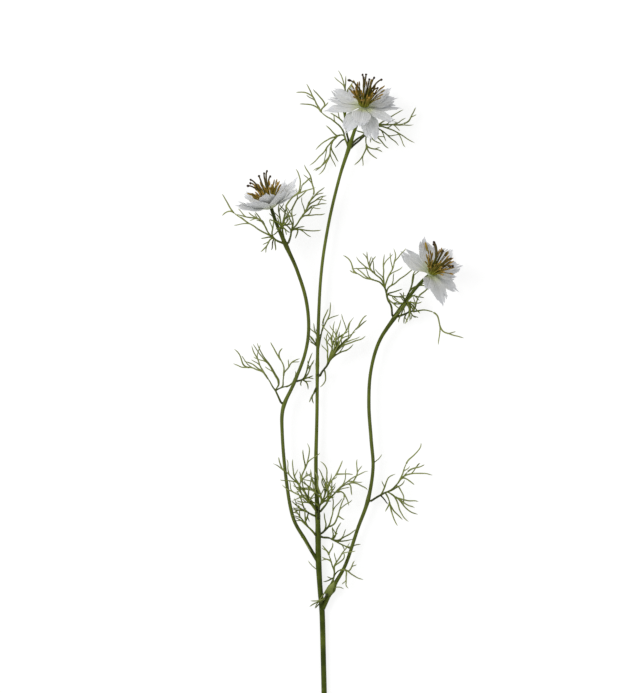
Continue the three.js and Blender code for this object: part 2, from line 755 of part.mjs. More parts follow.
// The threads of a frond, each as its curve and the radii of its two ends. A limb leaves the stalk where its
// first number is -1, and otherwise the limb of that number. A limb's first side thread is left out, and so
// is every other one after it.
function frondThreads(frond) {
  const draw = seededDraws(frond.seed);
  const root = new THREE.Vector3(...frond.root);
  const hub = new THREE.Vector3(...frond.hub);
  const run = hub.clone().sub(root);
  const leaving = new THREE.Vector3(run.x + 2 * run.y * frond.bend, run.y - 2 * run.x * frond.bend, run.z);
  const stalk = threadCurve(root, leaving, hub, frond.bend);
  const threads = [{ curve: stalk, radii: STALK_RADII, start: 0 }];
  const limbs = [];
  for (const [parent, latest, x, y, z, bend, forks] of frond.limbs) {
    const host = parent < 0 ? stalk : limbs[parent];
    const at = latest - ROOT_SPREAD * limbs.length;
    const limb = threadCurve(host.getPoint(at), slope(host, at), new THREE.Vector3(x, y, z), bend);
    limbs.push(limb);
    threads.push({ curve: limb, radii: LIMB_RADII, start: latest > 0.9 ? 0 : SUNK_START });
    let side = draw() < 0.5 ? 1 : -1;
    for (let k = 0; k < forks; k += 1) {
      const place = FORK_PLACES.first + (FORK_PLACES.spread * (k + 0.6 * draw())) / forks;
      const fork = forkCurve(limb, place, side, draw);
      if (k % 2 === 1) threads.push({ curve: fork, radii: FORK_RADII, start: SUNK_START });
      side = -side;
    }
  }
  return threads;
}

function threadSolid({ curve, radii, start }) {
  const steps = Math.max(2, Math.ceil(curve.getLength() / THREAD_STEP));
  const stations = [];
  for (let step = 0; step <= steps; step += 1) {
    const place = THREE.MathUtils.lerp(start, 1, step / steps);
    const radius = THREE.MathUtils.lerp(radii[0], radii[1], place);
    stations.push([place, radius * THREAD_FATNESS]);
  }
  return tube(new RestingCurve(curve, THREAD_LOWEST), stations, THREAD_SIDES);
}

function frondSolid(frond, clearOf) {
  const threads = frondThreads(frond).map(threadSolid);
  return join(threads).subtract(clearOf);
}

// Blooms

// The place that lies `along` the flower's axis and `out` from it, in the direction `angle` round it.
function bloomPoint(bloom, angle, out, along) {
  const point = new THREE.Vector3(...bloom.centre);
  point.addScaledVector(bloom.side, out * Math.cos(angle));
  point.addScaledVector(bloom.front, out * Math.sin(angle));
  return point.addScaledVector(bloom.axis, along);
}

function bloomFrame(bloom) {
  const axis = new THREE.Vector3(...bloom.faces).normalize();
  const side = new THREE.Vector3().crossVectors(UP, axis).normalize();
  const front = new THREE.Vector3().crossVectors(axis, side);
  return { ...bloom, axis, side, front };
}

function turnedSolid(bloom, profile, segments) {
  const outline = profile.map(([out, along]) => new THREE.Vector2(out, along));
  const geometry = new THREE.LatheGeometry(outline, segments);
  const across = new THREE.Vector3().crossVectors(bloom.axis, bloom.side).negate();
  const place = new THREE.Matrix4().makeBasis(bloom.side, bloom.axis, across);
  place.setPosition(...bloom.centre);
  geometry.applyMatrix4(place);
  return toSolid(geometry);
}

function discSolid(bloom, extra = 0) {
  const radius = DISC.radius + extra;
  const half = DISC.half + extra;
  const rim = [[radius * DISC.underside, -half], [radius, 0], [radius * DISC.shoulder, half]];
  return turnedSolid(bloom, [[0, -half], ...rim, [0, half]], DISC.sides);
}

// A petal's half width along it, for a petal two wide: a narrow claw, a broad middle and a pointed tip.
function petalOutline(s) {
  return (0.1 + 0.9 * THREE.MathUtils.smoothstep(s, 0.02, 0.5)) * (1 - s ** 3.2) ** 0.8;
}

// A point of a petal's middle surface, s along it from 0 to 1 and t across it from -1 to 1.
function petalSurface(bloom, petal, s, t) {
  const [angle, length, width, rise, curl, phase, twist, layer] = petal;
  const climb = THREE.MathUtils.degToRad(rise + (curl * s) / 2);
  const half = 0.5 * width * petalOutline(s) + PETAL_CLAW;
  const ripple = PETAL_WAVE.height * Math.sin(phase + PETAL_WAVE.turns * s);
  const wave = t * t * s * (ripple + PETAL_WAVE.cup * half);
  const out = PETAL_ROOT + length * s * Math.cos(climb) - wave * Math.sin(climb);
  const along = PETAL_LAYER * layer + length * s * Math.sin(climb) + wave * Math.cos(climb);
  const turn = THREE.MathUtils.degToRad(angle);
  const roll = THREE.MathUtils.degToRad(twist * s);
  const across = half * t * Math.cos(roll);
  const point = bloomPoint(bloom, turn, out, along + half * t * Math.sin(roll));
  point.addScaledVector(bloom.side, -across * Math.sin(turn));
  point.addScaledVector(bloom.front, across * Math.cos(turn));
  point.z = restOnFloor(point.z, PETAL_LOWEST);
  return point;
}

const PETAL_ROWS = [0, 0.16, 0.36, 0.6, 0.84, 1];
const PETAL_COLUMNS = [-1, 0, 1];

function petalSolid(bloom, petal) {
  const nudge = 0.01;
  const positions = [];
  const faces = [1, -1];
  for (const face of faces) {
    for (const s of PETAL_ROWS) {
      for (const t of PETAL_COLUMNS) {
        const point = petalSurface(bloom, petal, s, t);
        const before = petalSurface(bloom, petal, Math.max(s - nudge, 0), t);
        const alongBlade = petalSurface(bloom, petal, Math.min(s + nudge, 1), t).sub(before);
        const beside = petalSurface(bloom, petal, s, t - nudge);
        const acrossBlade = petalSurface(bloom, petal, s, t + nudge).sub(beside);
        const normal = alongBlade.cross(acrossBlade).normalize();
        point.addScaledVector(normal, (face * PETAL_THICKNESS) / 2);
        positions.push(point.x, point.y, point.z);
      }
    }
  }
  const columns = PETAL_COLUMNS.length;
  const rows = PETAL_ROWS.length;
  const sheet = rows * columns;
  const index = [];
  for (let row = 0; row + 1 < rows; row += 1) {
    for (let column = 0; column + 1 < columns; column += 1) {
      const a = row * columns + column;
      const b = a + 1;
      const c = a + columns;
      const d = c + 1;
      index.push(a, c, b, b, c, d);
      index.push(a + sheet, b + sheet, c + sheet, b + sheet, d + sheet, c + sheet);
    }
  }
  const rim = [];
  for (let column = 0; column < columns; column += 1) rim.push(column);
  for (let row = 1; row < rows; row += 1) rim.push(row * columns + columns - 1);
  for (let column = columns - 2; column >= 0; column -= 1) rim.push((rows - 1) * columns + column);
  for (let row = rows - 2; row > 0; row -= 1) rim.push(row * columns);
  rim.forEach((a, k) => {
    const b = rim[(k + 1) % rim.length];
    index.push(a, b, a + sheet, b, b + sheet, a + sheet);
  });
  const geometry = new THREE.BufferGeometry();
  geometry.setAttribute('position', new THREE.Float32BufferAttribute(positions, 3));
  geometry.setIndex(index);
  return toSolid(geometry);
}

function petalsSolid(bloom) {
  const petals = bloom.petals.map((petal) => petalSolid(bloom, petal));
  return join([discSolid(bloom), ...petals]).subtract(belowSurface);
}

// A stamen: a slender stalk that leans out from the collar, and a plump anther.
function stamenSolid(bloom, angle, lean, length) {
  const middle = (COLLAR.inner + COLLAR.outer) / 2;
  const foot = bloomPoint(bloom, angle, middle, (COLLAR.foot + COLLAR.top) / 2);
  const kneeOut = middle + length * STAMEN.knee * Math.sin(lean / 2);
  const knee = bloomPoint(bloom, angle, kneeOut, length * STAMEN.kneeHeight);
  const tipOut = middle + length * Math.sin(lean);
  const tip = bloomPoint(bloom, angle, tipOut, COLLAR.foot + length * Math.cos(lean));
  return tube(new THREE.QuadraticBezierCurve3(foot, knee, tip), STAMEN_STATIONS, 3);
}

function stamensSolid(bloom) {
  const { inner, outer, foot, top } = COLLAR;
  const ring = [[inner, foot], [outer, foot], [outer, top], [inner, top], [inner, foot]];
  const collar = turnedSolid(bloom, ring, COLLAR.sides);
  const draw = seededDraws(bloom.seed);
  const stamens = [];
  for (let k = 0; k < bloom.stamens; k += 1) {
    const angle = (2 * Math.PI * (k + STAMEN_UNEVENNESS * draw())) / bloom.stamens;
    const lean = THREE.MathUtils.degToRad(STAMEN.lean + STAMEN.leanSpread * draw());
    stamens.push(stamenSolid(bloom, angle, lean, STAMEN.length + STAMEN.lengthSpread * draw()));
  }
  return join([collar, ...stamens]);
}

// A style: it stands on the ovary, then swings out and ends in a small knob.
function styleSolid(bloom, [angle, height, swing]) {
  const turn = THREE.MathUtils.degToRad(angle);
  const foot = bloomPoint(bloom, turn, STYLE.root, OVARY.top - STYLE.sunk);
  const low = bloomPoint(bloom, turn, STYLE.reach, height * STYLE.low);
  const high = bloomPoint(bloom, turn, STYLE.reach + swing * STYLE.swing, height * STYLE.high);
  const tip = bloomPoint(bloom, turn, STYLE.reach + swing, height);
  return tube(new THREE.CubicBezierCurve3(foot, low, high, tip), STYLE_STATIONS, 3);
}

function pistilSolid(bloom) {
  const { radius, foot, top, underside, shoulder, crown, sides } = OVARY;
  const waist = [radius, (foot + top) / 2];
  const ends = [[radius * underside, foot], waist, [radius * shoulder, top]];
  const ovary = turnedSolid(bloom, [[0, foot], ...ends, [0, top + crown]], sides);
  return join([ovary, ...bloom.styles.map((style) => styleSolid(bloom, style))]);
}

// The spray

const COLOURS = {
  stem: new THREE.MeshStandardMaterial({ color: 0x55641e, roughness: 0.55, metalness: 0 }),
  thread: new THREE.MeshStandardMaterial({ color: 0x66703a, roughness: 0.6, metalness: 0 }),
  petal: new THREE.MeshStandardMaterial({ color: 0xe8e8ec, roughness: 0.7, metalness: 0 }),
  stamen: new THREE.MeshStandardMaterial({ color: 0x8a5f18, roughness: 0.6, metalness: 0 }),
  pistil: new THREE.MeshStandardMaterial({ color: 0x7c7a1a, roughness: 0.5, metalness: 0 }),
};

function addPiece(group, name, solid, material) {
  const piece = new THREE.Mesh(toGeometry(withoutScraps(solid)), material.clone());
  piece.name = name;
  group.add(piece);
}

const spray = new THREE.Group();
const blooms = BLOOMS.map(bloomFrame);
const discRooms = join(blooms.map((bloom) => discSolid(bloom, GAP)));
const mainRoom = stemSolid(STEMS.stem_main, GAP);
const stemRooms = join(Object.values(STEMS).map((points) => stemSolid(points, GAP)));

const mainStem = stemSolid(STEMS.stem_main).subtract(belowSurface).subtract(discRooms);

addPiece(spray, 'stem_main', mainStem, COLOURS.stem);
for (const name of ['stem_left', 'stem_right']) {
  const branch = stemSolid(STEMS[name]).subtract(mainRoom).subtract(discRooms);
  addPiece(spray, name, branch, COLOURS.stem);
}
for (const bloom of blooms) {
  addPiece(spray, `petals_${bloom.name}`, petalsSolid(bloom), COLOURS.petal);
  addPiece(spray, `stamens_${bloom.name}`, stamensSolid(bloom), COLOURS.stamen);
  addPiece(spray, `pistil_${bloom.name}`, pistilSolid(bloom), COLOURS.pistil);
}
for (const frond of FRONDS) {
  addPiece(spray, frond.name, frondSolid(frond, stemRooms), COLOURS.thread);
}

export default spray;
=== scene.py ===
"""A cut stem of love-in-a-mist with three white blooms, lying on a pale surface, seen from above.

Lengths in the tables are in millimetres, as in the part: X is to the right, Y towards the tip of the spray,
and +Z is up from the surface.
"""
import math
from typing import NamedTuple

import bpy
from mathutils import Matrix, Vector, noise


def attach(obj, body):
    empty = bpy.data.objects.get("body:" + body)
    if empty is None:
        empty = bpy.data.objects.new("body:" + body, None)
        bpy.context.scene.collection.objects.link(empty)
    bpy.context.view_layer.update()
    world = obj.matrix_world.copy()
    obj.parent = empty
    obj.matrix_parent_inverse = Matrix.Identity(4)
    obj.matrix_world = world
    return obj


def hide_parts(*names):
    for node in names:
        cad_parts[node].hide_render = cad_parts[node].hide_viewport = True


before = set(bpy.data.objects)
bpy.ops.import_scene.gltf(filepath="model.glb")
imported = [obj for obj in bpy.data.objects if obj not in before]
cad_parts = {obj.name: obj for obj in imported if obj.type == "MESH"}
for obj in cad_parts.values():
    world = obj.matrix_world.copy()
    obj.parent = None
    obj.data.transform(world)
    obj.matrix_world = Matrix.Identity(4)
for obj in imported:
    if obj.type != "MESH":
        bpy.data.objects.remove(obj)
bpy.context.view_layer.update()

# Driving dimensions, in millimetres where nothing else is said
MM = 0.001
DRAWS = {"spread": 7919, "start": 17, "factor": 48271, "limit": 2147483647}  # numbers of the seeded draws
THREAD_LOWEST = 1.3  # how low a thread's middle line may hang
PETAL_LOWEST = 0.45  # how low a petal's middle surface may hang
FLOOR_SOFTNESS = 1.2  # how gently a low thread or petal bends along the surface
STEEP = 0.95  # how upright a tube may start before its rings are laid out from the x axis

# Stems
STEM_SIDES = 20
STEM_STEP = 1.6  # length of one ring of a stem
STEM_LEAST_STEPS = 2  # between two of its points
STEM_RIBS = 7
RIB_DEPTH = 0.045  # of the stem's radius
RIB_WANDER = {"reach": 2.5, "turns": 9}  # how the ribs wind round the stem, in radians
NODE_SWELLING = 0.2  # how much thicker a stem is at a node
NODE_LENGTH = 3.5

# Threads of the bracts and leaves
STALK_RADII = (0.82, 0.66)  # a leaf's stalk, root and hub
STALK_FOOT = 1.5  # how much thicker it is in the middle of the stem
FOOT_BENDS = (0.33, 0.67)  # shares of that foot's length
LIMB_RADII = (0.66, 0.38)  # a leaf's main threads, root and tip
FORK_RADII = (0.46, 0.3)  # side threads
THREAD_UNEVENNESS = 0.1  # of its radius
UNEVEN_LUMPS = 0.45  # lumps per millimetre
THREAD_SIDES = 7
THREAD_STEP = 1.3  # length of one ring of a thread
THREAD_SWAY = 0.8  # how far threads wander from their curves
SWAY_LUMPS = 0.16  # lumps of that wandering per millimetre
SWAY_SHIFT = (40, 0, 0)  # to another part of the same noise
THREAD_LEAST_STEPS = 6
TAPER_SPAN = (0.88, 1.02)  # where along a thread it runs out to its point
POINT_SHARE = 0.02  # square of the share of its radius left there
LENGTH_STEPS = 8  # to measure a thread by
ROOT_SPREAD = 0.014  # how much further back each next limb leaves its parent
DEPARTURE = 0.3  # share of its length that a thread runs on with its parent before it swings to its tip
LATE = 0.64  # how far along a thread the bow is that its bend makes
FORK = {
    "turn": 24, "turn_spread": 16, "reach": 0.3, "reach_spread": 0.2, "shortest": 4.5, "longest": 13,
    "rise": 0.5, "bend": 0.05, "departure": 0.34, "first": 0.3, "spread": 0.46, "unevenness": 0.6,
}
STRAY_RADII = (0.4, 0.3)
STRAY_TONES = (0.2, 0.9)
HUB_TONE = 0.15  # tones run from 0 at a stem to 1 at the palest tips
TONE_RISE = 0.032  # per millimetre of a limb
FORK_PALER = 0.3
TONE_SPREAD = 0.6  # from thread to thread
TONE_LUMPS = 0.4  # lumps of that spread per millimetre
TONE_SETTLED = 0.4  # how far along a thread its own tone is reached

# Leaf sheath and cut end
SHEATH = ((-12.5, -140, 5.2), (-9.2, -135, 6.3), (-6.2, -128.5, 6.4))  # the middle line of the leaf sheath
SHEATH_RADIUS = 2.3
SHEATH_END = 0.3  # its radius at both ends
SHEATH_FULLNESS = (0.8, 1.2)  # powers that move its belly towards the foot and sharpen its ends
SHEATH_SIDES = 48
SHEATH_STEPS = 12  # between two of its points
SHEATH_FLATNESS = 0.62
SHEATH_RIBS = 9
SHEATH_RIB_DEPTH = 0.05
CUT_PROFILE = ((0.97, 0.02), (0.9, 0.16), (0.6, 0.1), (0.34, 0.02), (0.16, -0.25))  # share out, and proud
CUT_SIDES = 24

# Petals. The turns of a wave are in radians
PETAL_THICKNESS = 0.28
PETAL_ROOT = 2.6  # where a petal leaves the flower's axis
PETAL_LAYER = 0.55  # how far the upper and lower petals stand from the middle of the disc
PETAL_CLAW = 0.25  # a petal's least half width
PETAL_FOOT = 0.24  # its share of the width at the foot
PETAL_FULL = 0.42  # where along it a petal is widest
PETAL_NARROWING = 0.42  # the share of the width lost at the end
PETAL_EDGE = 0.6  # how much thinner its rim is
PETAL_WAVE = {"height": 0.7, "turns": 7, "cup": 0.08}
PETAL_RIPPLE = {"height": 0.6, "along": 15, "across": 3, "from": 0.4, "full": 0.9}
PETAL_ROWS = 52
PETAL_COLUMNS = 40
CREASES = {"count": 9, "depth": 0.14, "full": 0.3, "gone": 1.1}  # full and gone: where along a petal
KEEL = {"depth": 0.45, "narrowness": 6, "full": 0.2, "fade": 0.6}  # the groove along a petal's middle
LOBE_COUNTS = (3, 4, 5)
LOBE_DEPTH = 0.32  # of the petal's length, between the lobes at its end
LOBE_ROUNDNESS = 0.6
LOBE_SPREAD = {"least": 0.7, "more": 0.5, "turns": 2.6}  # how the depth changes across the end
LOBE_START = 0.4  # how far along a petal its lobes begin to part
END_WAVES = {"long": 0.07, "long_turns": 5, "short": 0.03, "short_turns": 23}
END_ROUNDING = 0.24  # how much shorter the sides of the end are
END_SQUARENESS = 2.4
FRAY = {"coarse": 0.12, "coarse_turns": 19, "fine": 0.06, "fine_turns": 47, "from": 0.45, "full": 0.8}
VEIN_TURNS = 44.0  # over half a petal's width
VEIN_WANDER = 4.0
VEIN_SHADE = 0.2  # the most a vein darkens

# Stamens and pistil, on the disc that carries the petals
DISC = ((0.1, -0.8), (2.22, -0.8), (3.7, 0), (3.33, 0.8), (0.1, 0.8))  # out from the axis, along it
DISC_SIDES = 28
COLLAR = ((3.1, 1.9), (3.9, 1.9), (3.9, 2.68), (3.5, 3.2), (3.1, 3.2))  # out from the axis, along it
COLLAR_SIDES = 30
COLLAR_LOBES = 15
COLLAR_DEPTH = 0.12  # of its radius, between its lobes
COLLAR_TONES = (0.0, 0.3)
STAMENS = 46
STALK_SIDES = 6
STALK_WIDTHS = (0.42, 0.28)  # radii of a stamen's stalk, foot and tip
STAMEN_STEPS = 12
STAMEN = {
    "out": 3.5, "foot": 1.9, "rooted": 2.55, "length": 10, "length_spread": 6, "lean": 6, "lean_spread": 34,
    "knee": 0.42, "knee_height": 0.55, "unevenness": 0.4, "swing": 0.25,
}
ANTHER_LENGTH = 3.6
ANTHER_RADIUS = 0.72
ANTHER_STEPS = 10
ANTHER_SIDES = 8
ANTHER_SPAN = (0.06, 0.94)  # the part of a half turn of the sine that gives its outline
ANTHER_BLUNTNESS = 0.55
ANTHER_RISE = 0.3  # share of its tone that rises from 0 to 1 along it
ANTHER_GROOVE = 0.22  # of its radius
ANTHER_TAPER = 0.04  # of its radius, from end to end
OVARY = {
    "radius": 2.9, "foot": 1.1, "top": 8.4, "lobes": 7, "depth": 0.22, "sides": 42, "rings": 14,
    "bluntness": 0.6, "narrowing": 0.2,
}
OVARY_SPAN = (0.16, 0.97)  # the part of a half turn of the sine that gives its outline
OVARY_TONE = 0.35  # at its top
STYLE = {"root": 1.3, "sunk": 1.6, "reach": 2.2, "low": 0.55, "high": 1.04, "swing": 0.55}
STYLE_RADII = (0.75, 0.5)  # foot and tip
STYLE_STEPS = 22
STYLE_SIDES = 9
STYLE_TONE = 0.3  # at its foot
KNOB_SWELL = 0.45
KNOB_BLUNTNESS = 0.8
KNOB_STEPS = 8
KNOB_SIDES = 10
KNOB_SPAN = (0.86, 1.01)  # where on a style its knob lies
KNOB_END = 0.25  # radius
FALLEN_PLACE = (0.72, -0.1)  # where the fallen anther lies along and across its petal
FALLEN_LENGTH = 6.8
FALLEN_RADIUS = 1.2
FALLEN_TONE = 0.5

# Studio
FLOOR_GLOW = 0.8  # light of the floor's own, which keeps the shadows on it faint
FLOOR_HALF = 8.0  # metres
LIGHTS = {  # place and width in metres, and power in watts
    "key_light": ((-2.6, 1.0, 2.4), 2.0, 76),
    "fill_light": ((2.4, -1.2, 2.8), 3.0, 14),
}
ROOM_LIGHT = 0.5
CAMERA_PLACE = (-20.2, 39.2, 1386)
CAMERA_LENS = 100
CAMERA_SENSOR = 36  # height


class Frond(NamedTuple):
    """A bract or a leaf: a stalk from its root to its hub, and the main threads, called limbs, on it."""
    name: str
    seed: int
    root: tuple
    hub: tuple
    bend: float
    limbs: list

# Stems: x, y, z and radius along each, from the cut end or the branching to the bloom
STEMS = {
    "stem_main": [
        (-13.1, -236.3, 1.65, 1.95), (-14.2, -186.5, 2.1, 1.9), (-15.1, -152, 2.7, 1.95),
        (-16.6, -134.6, 3.1, 1.85), (-17.8, -113, 3.6, 2.1), (-18.2, -86, 4, 1.8), (-19.5, -48, 4.7, 1.35),
        (-18.8, -10, 5.4, 1.2), (-18.2, 38, 6.2, 1.2), (-16.1, 88, 7, 1.1), (-10.9, 125, 7.6, 1.1),
        (-3, 159.1, 8.2, 1.1), (3.8, 180.5, 9.2, 1.35), (8.6, 195, 12.2, 1.15), (13.9, 208.5, 19.2, 1.25),
    ],
    "stem_left": [
        (-18.6, -114.5, 3.9, 1.35), (-26.9, -100.1, 5.4, 1.3), (-36.1, -82.8, 6.6, 1.25),
        (-41.1, -54, 7.8, 1.2), (-43.6, -24, 8.6, 1.2), (-43, -5, 9.2, 1.35), (-35.6, 12.2, 9.8, 1.2),
        (-27.6, 33, 10.6, 1.15), (-24.7, 52, 11.3, 1.2), (-26.7, 73, 12.4, 1.25), (-33.2, 94, 14, 1.25),
        (-40, 109.2, 16, 1.45), (-47.2, 125.5, 18.8, 1.2), (-51.2, 137.2, 21.3, 1.25),
    ],
    "stem_right": [
        (-14.3, -149, 3.3, 1.5), (-10.9, -140.4, 4.1, 1.7), (-8.3, -134.8, 4.7, 2.6),
        (-5, -129.4, 5.1, 1.4), (2.2, -116, 5.4, 1.25), (10.4, -91.4, 6, 1.25), (17.7, -71, 6.4, 1.35),
        (21.4, -48.2, 6.8, 1.2), (20, -27, 7.1, 1.25), (18.4, -3, 7.3, 1.25), (19.7, 20.9, 7.5, 1.2),
        (25.6, 42.5, 7.7, 1.25), (37.1, 60.5, 8, 1.5), (48.6, 76.9, 9.2, 1.2), (56.6, 86.2, 11.8, 1.15),
        (62.2, 90.9, 15.1, 1.2),
    ],
}

# Blooms. Petals: angle round the axis, length, width, rise, curl, phase of the wave, twist. Their
# layers take turns, the first below. Styles: angle, height and swing outward.
BLOOMS = [
    {
        "name": "top", "centre": (14, 209.2, 19.8), "faces": (0.15, 0.75, 0.64), "seed": 71,
        "petals": [
            (-8, 23.2, 11, -3, 6, 4.4, 0), (-32, 26.4, 14.5, -5, 6, 1.5, 0), (-62, 21.8, 11, 2, 4, 3, 0),
            (-95, 20, 11, -6, -4, 5.6, 0), (-125, 26.4, 10.5, 14, -6, 1.1, 0),
            (-144, 24.4, 12.5, 3, 6, 0.4, 0), (-162, 24.4, 9.5, 4, -6, 2.1, 0),
            (157, 23.4, 11, -6, 4, 3.6, 0), (116, 26.4, 14.5, -16, -12, 5.2, 0),
            (90, 21.4, 14, 4, -16, 0.9, 0), (67, 22.4, 13, -16, -14, 2.6, 0),
            (20, 24.9, 10.5, -8, -2, 3.9, 0),
        ],
        "styles": [
            (11, 21, 12.4), (-29, 24.2, 3.8), (36, 25.5, 2.8), (0, 26.8, 0.3), (-99, 21.5, 0.8),
            (141, 27.2, 2.6), (-168, 23.8, 7.5), (165, 18.8, 6), (151, 15.5, 6.1),
        ],
    },
    {
        "name": "left", "centre": (-51.5, 137.8, 21.2), "faces": (-0.34, 0.93, 0.14), "seed": 73,
        "petals": [
            (-10, 22.4, 12.5, 28, 12, 0.6, 20), (20, 22.8, 14, 14, 14, 2.3, -42),
            (54, 22.9, 14, 26, 2, 4.1, 0), (88, 22.4, 14, 32, -6, 5.5, 0),
            (122, 22.4, 13.5, 28, -8, 1.2, 0), (158, 22.4, 13, 10, 2, 2.9, 34),
            (-167, 25.6, 13, 26, 10, 4.7, 26), (-132, 24.4, 12, 28, 6, 0.2, 0),
            (-95, 22.4, 12.5, 26, 4, 3.3, 0), (-52, 25, 11.5, 32, 10, 5, 0),
        ],
        "styles": [
            (20, 20, 9.3), (-25, 20.8, 7), (15, 23.2, 5.3), (86, 23.8, 1.8), (-143, 24, 2.8),
            (163, 25, 4.8), (-158, 20.5, 6.1),
        ],
    },
    {
        "name": "right", "centre": (62.6, 91.4, 14.9), "faces": (0.38, 0.6, 0.7), "seed": 79,
        "petals": [
            (-7, 24.2, 18, -2, 6, 0.9, 0), (-49, 25.4, 13.5, 10, 6, 4, 0), (-75, 24.4, 10.5, 4, -2, 5.3, 0),
            (-96, 25.9, 11.5, 8, 6, 1.4, 0), (-123, 25.4, 13, 4, 2, 3.1, 0),
            (-143, 18.4, 10, -4, -4, 4.6, 0), (-165, 21.8, 12.5, -8, -12, 0.3, 0),
            (137, 23, 13.5, -6, -10, 2, 0), (98, 19.9, 9, 18, -10, 3.4, 0),
        ],
        "styles": [
            (0, 25.6, 9.2), (-20, 20.8, 9), (161, 22.8, 4.1), (180, 16.2, 8.3), (150, 18.5, 7.9),
            (-60, 20.8, 1),
        ],
    },
]

